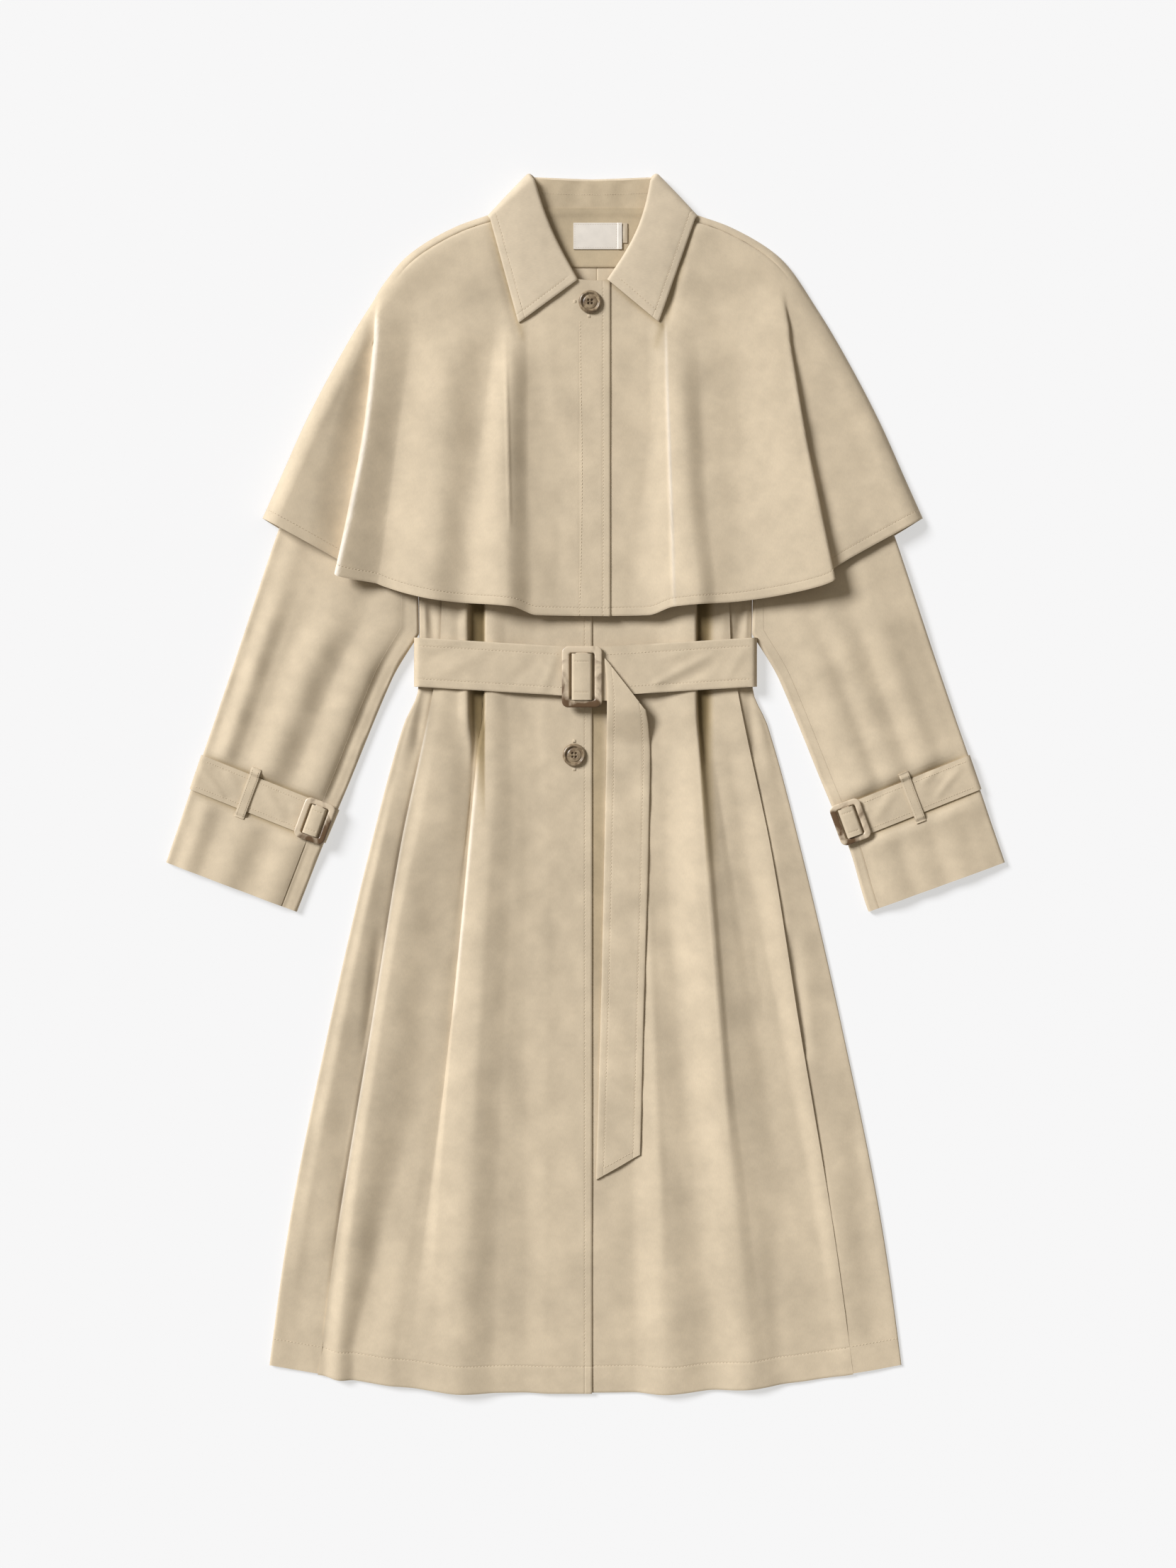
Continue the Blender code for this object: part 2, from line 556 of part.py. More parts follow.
FOLD_ROUND = np.linspace(0, 1, 5)[1:]
TOP_ROUND = np.concatenate([np.linspace(SLEEVE_FRONT_SEAM + SEAM_SHARE, 1, 11), 1 + FOLD_ROUND,
                            np.linspace(2, 2 + SLEEVE_BACK_SEAM, 3)[1:]])
UNDER_ROUND = np.concatenate([np.linspace(2 + SLEEVE_BACK_SEAM + 2 * SEAM_SHARE, 3, 5), 3 + FOLD_ROUND,
                              np.linspace(4, 4 + SLEEVE_FRONT_SEAM - SEAM_SHARE, 3)[1:]])
SLEEVE_ROWS = np.concatenate([[0.0, 0.05, 0.08], np.linspace(STRAP_FOOT - 0.012, STRAP_TOP + 0.012, 3),
                              np.linspace(0.22, 0.50, 6), np.linspace(0.58, 1.0, 5)])
for side, word in ((LEFT, "left"), (RIGHT, "right")):
    cloth(f"sleeve_{word}_top", TOP_ROUND, SLEEVE_ROWS, sleeve_at(side), grow=-side)
    cloth(f"sleeve_{word}_under", UNDER_ROUND, SLEEVE_ROWS, sleeve_at(side), grow=-side)


# Cuff straps, their carrier loops and their sewn ends

STRAP_ROUND = np.concatenate([np.linspace(0, 1, 7), np.linspace(1, 2, 5)[1:], np.linspace(2, 3, 4)[1:],
                              np.linspace(3, 4, 5)[1:]])
SLEEVE_TOP_Z = UNDER_LIFT + 2 * SLEEVE_FOLD
STRAP_TOP_Z = SLEEVE_TOP_Z + EASE + CLOTH
LOOP_HALF_WIDTH = 0.035    # share of the sleeve's width
LOOP_ACROSS = {LEFT: 0.62, RIGHT: 0.535}   # share of the width, from the inner edge
LOOP_PAST, LOOP_STEP, LOOP_FOOT = 0.0125, 0.005, 0.003   # shares of the sleeve's length


def loop_at(side):
    """Carrier loop: a band along the sleeve that steps over the strap."""
    def place(u, v):
        share = STRAP_FOOT - LOOP_PAST + (STRAP_TOP - STRAP_FOOT + 2 * LOOP_PAST) * v
        x, y, z = sleeve_at(side)(LOOP_ACROSS[side] + LOOP_HALF_WIDTH * u, share)
        past = np.maximum(STRAP_FOOT - share, share - STRAP_TOP)
        over = ease((LOOP_PAST - LOOP_FOOT - past) / LOOP_STEP)
        return x, y, z + SEAM + (EASE + CLOTH + SEAM) * over
    return place


LOOP_ROWS = np.concatenate([[0.0, 0.035, 0.065, 0.10, 0.5], [0.90, 0.935, 0.965, 1.0]])
for side, word in ((LEFT, "left"), (RIGHT, "right")):
    cloth(f"cuff_strap_{word}", STRAP_ROUND, np.linspace(STRAP_FOOT, STRAP_TOP, 3),
          sleeve_at(side, EASE), grow=side, ring=True)
    cloth(f"cuff_loop_{word}", [-1.0, 1.0], LOOP_ROWS, loop_at(side), grow=side)


# Buckles

def rounded_box(width, height, radius, steps=3):
    """Corner points of a rounded rectangle, anticlockwise."""
    points = []
    for corner, (sx, sy) in enumerate(((1, 1), (-1, 1), (-1, -1), (1, -1))):
        for k in range(steps + 1):
            angle = math.radians(90 * corner + 90 * k / steps)
            points.append((sx * (width / 2 - radius) + radius * math.cos(angle),
                           sy * (height / 2 - radius) + radius * math.sin(angle)))
    return points


def buckle(name, size, location, turn):
    """Slide buckle: a flat frame with a bar across its middle, made as an outline with two slots."""
    outline = bpy.data.curves.new(name, "CURVE")
    outline.dimensions = "2D"
    outline.fill_mode = "BOTH"
    outline.extrude = size.thick / 2 - BUCKLE_BEVEL
    outline.bevel_depth = BUCKLE_BEVEL
    outline.bevel_resolution = 0
    outline.offset = -BUCKLE_BEVEL
    opening = size.height - 2 * size.end
    slot_out = (size.bar + size.slot) / 2
    shapes = [(rounded_box(size.width, size.height, BUCKLE_CORNER), 0.0)]
    slot = rounded_box(size.slot, opening, BUCKLE_SLOT_CORNER, 1)
    shapes += [(slot, s * slot_out) for s in (LEFT, RIGHT)]
    for points, shift in shapes:
        spline = outline.splines.new("POLY")
        spline.points.add(len(points) - 1)
        for point, (x, y) in zip(spline.points, points):
            point.co = (x + shift, y, 0.0, 1.0)
        spline.use_cyclic_u = True
    return put(name, outline, "horn_pale", location, turn)


def wrapped_end(name, size, location, turn):
    """Sewn end of a strap, closed round the buckle's bar."""
    flat = size.bar / 2 - END_SIDE_CLEAR
    radius = size.thick / 2 + EASE
    half = (size.height - 2 * size.end) / 2 - END_TIP_CLEAR

    def place(u, v):
        zone = np.floor(np.mod(u, 4.0))
        t = np.mod(u, 4.0) - zone
        turn_by = np.pi * t
        x = np.select([zone == 0, zone == 1, zone == 2],
                      [flat * (2 * t - 1), flat + radius * np.sin(turn_by), flat * (1 - 2 * t)],
                      -flat - radius * np.sin(turn_by))
        z = np.select([zone == 0, zone == 1, zone == 2],
                      [radius + 0 * t, radius * np.cos(turn_by), -radius + 0 * t],
                      -radius * np.cos(turn_by))
        return x, half * (2 * v - 1), z
    round_bar = np.concatenate([[0.0], np.linspace(1, 2, 5), np.linspace(3, 4, 5)])
    made = cloth(name, round_bar, np.linspace(0, 1, 2), place, ring=True)
    made.location = location
    made.rotation_euler = (0.0, 0.0, turn)
    return made


buckle_mid = BUCKLE_BASE + BELT_BUCKLE.thick / 2
buckle("belt_buckle", BELT_BUCKLE, (*BELT_BUCKLE_AT, buckle_mid), 0.0)
wrapped_end("belt_end", BELT_BUCKLE, (*BELT_BUCKLE_AT, buckle_mid), 0.0)
cuff_mid = STRAP_TOP_Z + 2 * EASE + CLOTH + CUFF_BUCKLE.thick / 2
for side, word in ((LEFT, "left"), (RIGHT, "right")):
    place_at = (*CUFF_BUCKLE_AT[side], cuff_mid)
    lean = side * math.radians(20.0)
    buckle(f"cuff_buckle_{word}", CUFF_BUCKLE, place_at, lean)
    wrapped_end(f"cuff_end_{word}", CUFF_BUCKLE, place_at, lean)


# Belt

def belt_at(u, v):
    """Outer face of the belt round the waist: 0-1 top, 1-2 right side, 2-3 underside, 3-4 left side."""
    zone = np.floor(np.mod(u, 4.0))
    t = np.mod(u, 4.0) - zone
    flat = BELT_HALF_SPAN - BELT_CORNER
    turn = np.pi * t
    half = BELT_TOP / 2
    x = np.select([zone == 0, zone == 1, zone == 2],
                  [flat * (2 * t - 1), flat + BELT_CORNER * np.sin(turn), flat * (1 - 2 * t)],
                  -flat - BELT_CORNER * np.sin(turn))
    z = half + np.select([zone == 0, zone == 1, zone == 2],
                         [half + 0 * t, half * np.cos(turn), -half + 0 * t],
                         -half * np.cos(turn))
    dip = np.where(z > half, (BELT_SIDE_Y - BELT_MIDDLE_Y) * (1 - np.abs(x) / BELT_HALF_SPAN), 0.0)
    y = BELT_SIDE_Y - dip + BELT_HALF_WIDTH * (2 * v - 1)
    return x, y, z


BELT_ROUND = np.concatenate([np.linspace(0, 1, 9), np.linspace(1, 2, 7)[1:], np.linspace(2, 3, 5)[1:],
                             np.linspace(3, 4, 7)[1:]])
cloth("belt", BELT_ROUND, np.linspace(0, 1, 3), belt_at, thick=BELT_CLOTH, grow=-1, ring=True)


def tail_at(u, v):
    """Free end of the belt, from the slanting fold at the buckle (v=0) to its end (v=1)."""
    lx, ly, rx, ry = along(TAIL, ("left_x", "left_y", "right_x", "right_y"), v)
    x, y = lx + (rx - lx) * u, ly + (ry - ly) * u
    on_belt = BELT_TOP + EASE + TAIL_CLOTH + EASE
    on_front = front_under(RIGHT, x, y)[1] + CLOTH + TAIL_CLEAR
    return x, y, on_front + (on_belt - on_front) * climb(TAIL_RAMP, y)


def tongue_at(u, v):
    """Hidden layer between the buckle and the slanting fold."""
    top = TAIL[0].left_y - TONGUE_TOP_IN
    foot = TAIL[0].left_y - 2 * BELT_HALF_WIDTH + TONGUE_FOOT_IN
    y = foot + (top - foot) * v
    slant = (TAIL[0].right_x - TAIL[0].left_x) / (TAIL[0].left_y - TAIL[0].right_y)
    fold_x = TAIL[0].left_x + slant * (TAIL[0].left_y - y) - TONGUE_FOLD_IN
    return TONGUE_X + (fold_x - TONGUE_X) * u, y, BELT_TOP + EASE + 0 * u


cloth("belt_tail", np.linspace(0, 1, 4), np.linspace(0, 1, 21), tail_at, thick=TAIL_CLOTH, grow=-1)
cloth("belt_tongue", np.linspace(0, 1, 3), np.linspace(0, 1, 3), tongue_at, thick=TAIL_CLOTH)


# Collar

def collar_frame(u):
    """Fold point, direction to the leaf's edge and outward normal along the collar.

    u runs 0 to 6: left front, left shoulder turn, left back, then the right half mirrored."""
    side = np.where(u < 3, LEFT, RIGHT)
    w = 3.0 - np.abs(u - 3.0)
    front, turn, back = np.clip(w, 0, 1), np.clip(w - 1, 0, 1) * np.pi, np.clip(w - 2, 0, 1)

    def blend(start, corner, end_out, end_y):
        out = start.out + (corner.out - start.out) * front
        y = start.y + (corner.y - start.y) * front
        return out + (end_out - out) * back, y + (end_y - y) * back
    fold_out, fold_y = blend(LEAF_FRONT_END, FOLD_CORNER, 0.0, BACK_FOLD_Y)
    edge_out, edge_y = blend(LEAF_TIP, LEAF_CORNER, 0.0, BACK_LEAF_Y)
    length = np.hypot(edge_out - fold_out, edge_y - fold_y)
    d_out, d_y = (edge_out - fold_out) / length, (edge_y - fold_y) / length
    corner_out, corner_y = LEAF_CORNER.out - FOLD_CORNER.out, LEAF_CORNER.y - FOLD_CORNER.y
    size = math.hypot(corner_out, corner_y)
    away = (-corner_y / size, corner_out / size)
    radius = (COLLAR_FRONT_Z - COLLAR_CLOTH) / 2
    n = (away[0] * np.sin(turn), away[1] * np.sin(turn), np.cos(turn))
    start = (fold_out + radius * n[0], fold_y + radius * n[1], COLLAR_CLOTH + radius * (1 + n[2]))
    return side, start, (d_out, d_y), n, length, (front, back)


def collar_at(u, v):
    """Fall of the collar. v 0-1 goes round the roll at the fold, 1-2 across the leaf."""
    side, start, d, n, length, _ = collar_frame(u)
    angle = np.pi * (np.clip(v, 0, 1) - 0.5)
    reach = COLLAR_ROLL + COLLAR_CLOTH - COLLAR_ROLL * np.cos(angle)
    reach = reach + (length - reach) * np.clip(v - 1, 0, 1)
    up = COLLAR_ROLL * (np.sin(angle) - 1)
    out = start[0] + d[0] * reach + n[0] * up
    return NECK_X + side * out, start[1] + d[1] * reach + n[1] * up, start[2] + n[2] * up


def stand_at(u, v):
    """Band between the neck seam (v=1) and the roll of the collar (v=0)."""
    side, start, d, n, _, (front, back) = collar_frame(u)
    seam = STAND_FRONT_END + (STAND_SHOULDER - STAND_FRONT_END) * front
    seam = seam + (STAND_BACK - STAND_SHOULDER) * back
    near = COLLAR_ROLL + COLLAR_CLOTH + STAND_CLEAR
    reach = near + (seam - near) * v
    up = -2 * COLLAR_ROLL - STAND_CLEAR
    out = start[0] + d[0] * reach + n[0] * up
    return NECK_X + side * out, start[1] + d[1] * reach + n[1] * up, start[2] + n[2] * up


HALF_COLLAR = np.concatenate([np.linspace(0, 1, 6), np.linspace(1, 2, 7)[1:], np.linspace(2, 3, 4)[1:]])
COLLAR_ROUND = np.concatenate([HALF_COLLAR, 6.0 - HALF_COLLAR[-2::-1]])
COLLAR_ACROSS = np.concatenate([np.linspace(0, 1, 5), np.linspace(1, 2, 4)[1:]])
cloth("collar", COLLAR_ROUND, COLLAR_ACROSS, collar_at, thick=COLLAR_CLOTH)
cloth("collar_stand", COLLAR_ROUND, np.linspace(0, 1, 2), stand_at, grow=-1)


# Inside the neck

def inside_at(y, above):
    return back_lift(y) + CLOTH + FACING_CLEAR + above


def facing_at(u, v):
    y = FACING_FOOT + (FACING_TOP - FACING_FOOT) * v
    half = FACING_FOOT_HALF + (FACING_TOP_HALF - FACING_FOOT_HALF) * v
    return NECK_X + half * (2 * u - 1), y, inside_at(y, 0.0)


def patch_at(x, y, size):
    def place(u, v):
        level = y + size[1] * (v - 0.5)
        return x + size[0] * (u - 0.5), level, inside_at(level, CLOTH + EASE)
    return place


cloth("neck_facing", np.linspace(0, 1, 3), np.linspace(0, 1, 7), facing_at, look="gabardine_inside")
cloth("neck_label", np.linspace(0, 1, 2), np.linspace(0, 1, 4), patch_at(LABEL_X, LABEL_Y, LABEL_SIZE),
      thick=LABEL_CLOTH, look="label_weave")
cloth("size_tab", np.linspace(0, 1, 2), np.linspace(0, 1, 3), patch_at(TAB_X, TAB_Y, TAB_SIZE),
      thick=LABEL_CLOTH, look="label_weave")


# Buttons

Turn = namedtuple("Turn", "out up")
BUTTON_PROFILE = (
    Turn(out=0.0, up=0.0022),
    Turn(out=0.0048, up=0.0022),
    Turn(out=0.0070, up=0.0028),
    Turn(out=0.0086, up=0.0034),
    Turn(out=0.0104, up=0.0030),
    Turn(out=BUTTON_RADIUS, up=0.0020),
    Turn(out=0.0104, up=0.0008),
    Turn(out=0.0080, up=0.0),
    Turn(out=0.0, up=0.0),
)


def button(name, x, y, z):
    """Turned four-hole button with a raised rim."""
    shape = bmesh.new()
    verts = [shape.verts.new((row.out, 0.0, row.up)) for row in BUTTON_PROFILE]
    for first, second in zip(verts, verts[1:]):
        shape.edges.new((first, second))
    mesh = bpy.data.meshes.new(name)
    shape.to_mesh(mesh)
    shape.free()
    made = put(name, mesh, "horn_dark", (x, y, z))
    spin = made.modifiers.new("turn", "SCREW")
    spin.steps = spin.render_steps = 20
    spin.use_merge_vertices = True
    spin.merge_threshold = 0.00001
    for k in range(4):
        angle = math.radians(45 + 90 * k)
        drill = bmesh.new()
        bmesh.ops.create_cone(drill, cap_ends=True, segments=6, radius1=BUTTON_HOLE_RADIUS,
                              radius2=BUTTON_HOLE_RADIUS, depth=0.02)
        data = bpy.data.meshes.new(f"{name}_drill_{k}")
        drill.to_mesh(data)
        drill.free()
        cutter = bpy.data.objects.new(f"{name}_drill_{k}", data)
        out_x, out_y = BUTTON_HOLE_OUT * math.cos(angle), BUTTON_HOLE_OUT * math.sin(angle)
        cutter.location = (x + out_x, y + out_y, z)
        cutter.hide_render = True
        cutter.display_type = "WIRE"
        cutters.objects.link(cutter)
        hole = made.modifiers.new(f"hole_{k}", "BOOLEAN")
        hole.object = cutter
        hole.operation = "DIFFERENCE"
        hole.solver = "EXACT"
    return made


button("button_neck", *NECK_BUTTON_AT,
       cape_base(NECK_BUTTON_AT[1] + BUTTON_RADIUS) + FRONT_OVERLAP + CLOTH + SEAM)
button("button_front", *FRONT_BUTTON_AT,
       back_lift(0.0) + FRONT_OVER_BACK + FRONT_OVERLAP + CLOTH + BUTTON_CLEAR)
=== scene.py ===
# %% [markdown]
# # A belted trench coat with a shoulder cape, laid flat
# The coat lies on its back with its front up, so every cut piece of cloth is nearly level and the layers lie
# one on another. Each piece here is a surface that is worked out with numpy as a function of two numbers: u
# goes across the cloth and v along it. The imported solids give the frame, so a piece goes where its solid is.

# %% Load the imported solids
import math
from collections import namedtuple

import bmesh
import bpy
import numpy as np
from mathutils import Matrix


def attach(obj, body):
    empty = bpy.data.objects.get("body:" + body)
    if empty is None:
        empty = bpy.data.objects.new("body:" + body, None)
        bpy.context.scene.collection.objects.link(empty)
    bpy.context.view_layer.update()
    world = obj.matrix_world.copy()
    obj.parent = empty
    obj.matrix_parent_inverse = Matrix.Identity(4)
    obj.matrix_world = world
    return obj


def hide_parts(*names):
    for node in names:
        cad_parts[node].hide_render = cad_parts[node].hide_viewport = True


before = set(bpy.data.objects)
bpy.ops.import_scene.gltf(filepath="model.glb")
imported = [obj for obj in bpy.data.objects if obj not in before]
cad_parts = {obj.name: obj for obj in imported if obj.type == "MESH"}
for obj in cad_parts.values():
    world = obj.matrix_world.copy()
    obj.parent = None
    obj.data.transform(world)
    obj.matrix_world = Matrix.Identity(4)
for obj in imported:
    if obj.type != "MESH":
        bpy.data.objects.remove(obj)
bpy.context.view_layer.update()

# %% [markdown]
# ## The camera
# The coat was photographed from straight above. A long lens far away keeps the upright edges from leaning, so
# the camera hangs 3 m over the cloth, and its lens is worked out from the width of one pixel on the coat.

# %% Camera over the coat
PIXEL, PHOTO_HEIGHT = 0.0007, 2212
AIM, DISTANCE, SENSOR = (0.00245, 0.0014, 0.010), 3.0, 36.0
camera = bpy.data.objects.new("camera", bpy.data.cameras.new("camera"))
bpy.context.scene.collection.objects.link(camera)
camera.location = (AIM[0], AIM[1], AIM[2] + DISTANCE)
camera.data.sensor_fit = "VERTICAL"
camera.data.sensor_height = SENSOR
camera.data.lens = SENSOR * DISTANCE / (PIXEL * PHOTO_HEIGHT)
bpy.context.scene.camera = camera
print("lens in mm:", round(camera.data.lens, 1))

# %% [markdown]
# ## Smooth curves from short tables
# A pattern cutter notes a few widths and draws a smooth line through them. The same is done here: a table
# holds a few measured rows, and a cubic curve that never overshoots runs through them. Splines in Blender
# could do this too, but an array function can be read at every point of a surface at once.

# %% Curves through tables
LEFT, RIGHT = -1, 1
Ramp = namedtuple("Ramp", "start length")


def ease(t):
    """Smooth step: 0 below 0, 1 above 1, and three t squared minus two t cubed between."""
    t = np.clip(t, 0.0, 1.0)
    return t * t * (3.0 - 2.0 * t)


def climb(ramp, at):
    """Smooth step that starts at ramp.start and takes ramp.length, which is negative for a ramp down."""
    return ease((at - ramp.start) / ramp.length)


def calm(slope):
    """Tangents at the inner knots: the harmonic mean of the slopes before and after, or flat at a turn."""
    before, after = slope[:-1], slope[1:]
    same_way = before * after > 0
    return np.where(same_way, 2 * before * after / np.where(same_way, before + after, 1.0), 0.0)


def cubic(t, run, start, end, leave, arrive):
    """Cubic over a run, at its share t, between two values and with a tangent at each."""
    return ((2 * t**3 - 3 * t**2 + 1) * start + (t**3 - 2 * t**2 + t) * run * leave
            + (3 * t**2 - 2 * t**3) * end + (t**3 - t**2) * run * arrive)


def through(knots, values, at):
    """Monotone cubic: a cubic between each two knots, with tangents that never let it overshoot."""
    knots, values, at = (np.asarray(x, float) for x in (knots, values, at))
    step = np.diff(knots)
    slope = np.diff(values) / step
    tangent = np.concatenate([slope[:1], calm(slope), slope[-1:]])
    i = np.clip(np.searchsorted(knots, at) - 1, 0, len(step) - 1)
    t = np.clip((at - knots[i]) / step[i], 0.0, 1.0)
    return cubic(t, step[i], values[i], values[i + 1], tangent[i], tangent[i + 1])


def column(table, name):
    return np.array([getattr(row, name) for row in table])


def at_height(table, name, y):
    """A column of a table that runs down the coat, read at height y."""
    return through(column(table, "y")[::-1], column(table, name)[::-1], y)


def walked(points):
    """Distance along a polyline, at each of its points."""
    return np.concatenate([[0.0], np.cumsum(np.linalg.norm(np.diff(points, axis=0), axis=1))])


def along(table, names, share):
    """The point at a share of the way along a table of points."""
    points = np.stack([column(table, name) for name in names], axis=1)
    run = walked(points)
    return [through(run / run[-1], points[:, k], share) for k in range(len(names))]


print("a step at a quarter:", ease(0.25), "a curve at 0.5:", float(through([0, 1, 2], [0, 1, 1], 0.5)))

# %% [markdown]
# ## Cotton gabardine
# Gabardine is a tight cotton twill: fine steep ribs, a dry matt face and a soft cloudy shade where it was
# pressed. A photograph of cloth could be laid on, but a pattern from nodes stays sharp at any distance.
# Clouds come from noise on the object's own coordinates, and the twill ribs follow the cloth through its UV
# map, which is in metres.

# %% Helpers that set up shader nodes
COLOUR_A, COLOUR_B, MIXED_COLOUR = 6, 7, 2


def feed(tree, made, inputs):
    """Give each input of a shader node a value, or link it to a socket."""
    for name, value in inputs.items():
        if isinstance(value, bpy.types.NodeSocket):
            tree.links.new(value, made.inputs[name])
        else:
            made.inputs[name].default_value = value


def node(tree, kind, inputs=None, **properties):
    """A shader node with its properties set and its inputs fed."""
    made = tree.nodes.new(kind)
    for name, value in properties.items():
        setattr(made, name, value)
    feed(tree, made, inputs or {})
    return made


def new_finish(name):
    """A new material, its node tree and its shader."""
    made = bpy.data.materials.new(name)
    made.use_nodes = True
    return made, made.node_tree, made.node_tree.nodes["Principled BSDF"]


def noise(tree, where, scale, detail=2.0, roughness=0.5):
    return node(tree, "ShaderNodeTexNoise", {"Vector": where, "Scale": scale, "Detail": detail,
                                             "Roughness": roughness}).outputs["Fac"]


def spread(tree, value, low, high):
    """Carry the middle of a noise, 0.3 to 0.7, to the range from low to high."""
    return node(tree, "ShaderNodeMapRange", {"Value": value, "From Min": 0.3, "From Max": 0.7, "To Min": low,
                                             "To Max": high}).outputs["Result"]


def maths(tree, operation, *values):
    """A maths node with its inputs in order."""
    return node(tree, "ShaderNodeMath", dict(enumerate(values)), operation=operation).outputs["Value"]


def times(tree, one, other):
    return maths(tree, "MULTIPLY", one, other)


def mixed(tree, first, second, factor=1.0, blend="MIX"):
    """Two colours, or a colour and a grey tone, mixed by a factor."""
    return node(tree, "ShaderNodeMix", {"Factor": factor, COLOUR_A: first, COLOUR_B: second}, data_type="RGBA",
                blend_type=blend).outputs[MIXED_COLOUR]


def tinted(tree, colour, tone):
    """A colour multiplied by a grey tone."""
    return mixed(tree, (*colour, 1.0), tone, blend="MULTIPLY")


print("node helpers ready")

# %% Gabardine, lit and in painted shade
TWILL_PITCH, TWILL_TURN = 0.00065, math.radians(63)
CLOUD_SCALE, BLOTCH_SCALE, FIBRE_SCALE, FIBRE_STRETCH = 15.0, 62.0, 1400.0, (1.0, 0.2, 1.0)


def gabardine(name, colour, cloud=0.07, twill=0.26):
    """Base colour times cloud, blotch and fibre tones and the painted light and shade from the mesh, richer
    where that painted shade is dark. The bump is ribs and fibres."""
    made, tree, shader = new_finish(name)
    body = node(tree, "ShaderNodeTexCoord").outputs["Object"]
    weave = node(tree, "ShaderNodeUVMap", uv_map="cloth").outputs["UV"]
    stretched = node(tree, "ShaderNodeMapping", {"Vector": weave, "Scale": FIBRE_STRETCH})
    slanted = node(tree, "ShaderNodeMapping", {"Vector": weave, "Rotation": (0, 0, TWILL_TURN)})
    ribs = node(tree, "ShaderNodeTexWave", {"Vector": slanted.outputs["Vector"], "Distortion": 0.6,
                                            "Detail": 1.0, "Scale": math.pi / (10 * TWILL_PITCH)}).outputs["Fac"]
    fibre = noise(tree, stretched.outputs["Vector"], FIBRE_SCALE)
    blotch = 0.8 * cloud
    tone = spread(tree, noise(tree, body, CLOUD_SCALE, 3.0), 1 - cloud, 1 + cloud)
    tone = times(tree, tone, spread(tree, noise(tree, body, BLOTCH_SCALE, 3.0, 0.6), 1 - blotch, 1 + blotch))
    tone = times(tree, tone, spread(tree, fibre, 0.965, 1.035))
    # A per-point attribute of the mesh carries painted shade (below zero) and painted highlights (above zero).
    painted_shade_and_light = node(tree, "ShaderNodeAttribute", attribute_name="painted_shade_and_light").outputs["Fac"]
    tone = times(tree, tone, maths(tree, "ADD", painted_shade_and_light, 1.0))
    richer = maths(tree, "MULTIPLY_ADD", painted_shade_and_light, -0.9, 1.0)
    deep = node(tree, "ShaderNodeHueSaturation", {"Color": tinted(tree, colour, tone), "Saturation": richer})
    bump = node(tree, "ShaderNodeBump", {"Height": maths(tree, "ADD", ribs, fibre), "Strength": twill,
                                         "Distance": 0.00012})
    feed(tree, shader, {"Base Color": deep.outputs["Color"], "Roughness": spread(tree, fibre, 0.80, 0.94),
                        "Normal": bump.outputs["Normal"], "Specular IOR Level": 0.22, "Sheen Weight": 0.10,
                        "Sheen Roughness": 0.55})
    return made


OUTSIDE = gabardine("gabardine_outside", (0.595, 0.492, 0.348))
# A darker copy of the same cloth: painted shade for the inside of the neck, which lies in the collar's shade.
INSIDE_IN_PAINTED_SHADE = gabardine("gabardine_shaded", (0.490, 0.394, 0.258))
THREAD = gabardine("sewing_thread", (0.640, 0.535, 0.385), cloud=0.02, twill=0.1)
print("cloth finishes:", OUTSIDE.name, INSIDE_IN_PAINTED_SHADE.name, THREAD.name)

# %% [markdown]
# ## From a grid of points to a piece of cloth
# A cut piece is a grid of points. Neighbouring points become quads, the walked distance along rows and
# columns becomes the UV map, and Solidify gives the wall. Cloth simulation could drape the pieces, but the
# coat was laid by hand into long even folds, and those are easier to place than to wait for.

# %% The cloth builder
CLOTH = 0.0011


def grid_mesh(name, points, ring=False, painted_shade_and_light=None):
    """Quads between neighbours of points[row, column], sharp at the cut edges, with the width and length of
    the cut, walked along rows and columns. A ring's last column is its first."""
    rows, cols = points.shape[:2]
    kept = cols - 1 if ring else cols
    i, j = np.meshgrid(np.arange(rows - 1), np.arange(cols - 1), indexing="ij")
    i = np.stack([i, i, i + 1, i + 1], axis=-1).reshape(-1, 4)
    j = np.stack([j, j + 1, j + 1, j], axis=-1).reshape(-1, 4)
    mesh = bpy.data.meshes.new(name)
    mesh.from_pydata(points[:, :kept].reshape(-1, 3), [], i * kept + j % kept)
    across = np.cumsum(np.linalg.norm(np.diff(points, axis=1, prepend=points[:, :1]), axis=2), axis=1)
    across -= across[:, [cols // 2]]
    down = np.cumsum(np.linalg.norm(np.diff(points, axis=0, prepend=points[:1]), axis=2), axis=0)
    uv = np.stack([across[i, j], down[i, j]], axis=-1)
    mesh.uv_layers.new(name="cloth").data.foreach_set("uv", uv.astype(np.float32).ravel())
    # The tone at each point is painted light and shade, kept as an attribute for the cloth's shader.
    tone = np.zeros((rows, kept)) if painted_shade_and_light is None else np.broadcast_to(painted_shade_and_light, (rows, cols))[:, :kept]
    mesh.attributes.new("painted_shade_and_light", "FLOAT", "POINT").data.foreach_set("value", tone.astype(np.float32).ravel())
    mesh.shade_smooth()
    ends = np.empty(2 * len(mesh.edges), np.int32)
    mesh.edges.foreach_get("vertices", ends)
    row, col = np.divmod(ends.reshape(-1, 2), kept)
    cut = np.isin(row, (0, rows - 1)).all(axis=1) & (row[:, 0] == row[:, 1])
    cut |= (not ring) & np.isin(col, (0, cols - 1)).all(axis=1) & (col[:, 0] == col[:, 1])
    mesh.attributes.new("sharp_edge", "BOOLEAN", "EDGE").data.foreach_set("value", cut)
    return mesh, np.ptp(across, axis=1).max(), np.ptp(down, axis=0).max()


def dress(name, mesh, look, nodes):
    """Put a finished mesh into the scene at the origin, riding on the coat, in place of its solid."""
    piece = bpy.data.objects.new(name, mesh)
    bpy.context.scene.collection.objects.link(piece)
    mesh.materials.append(look)
    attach(piece, "root")
    if nodes:
        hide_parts(*nodes)
    return piece


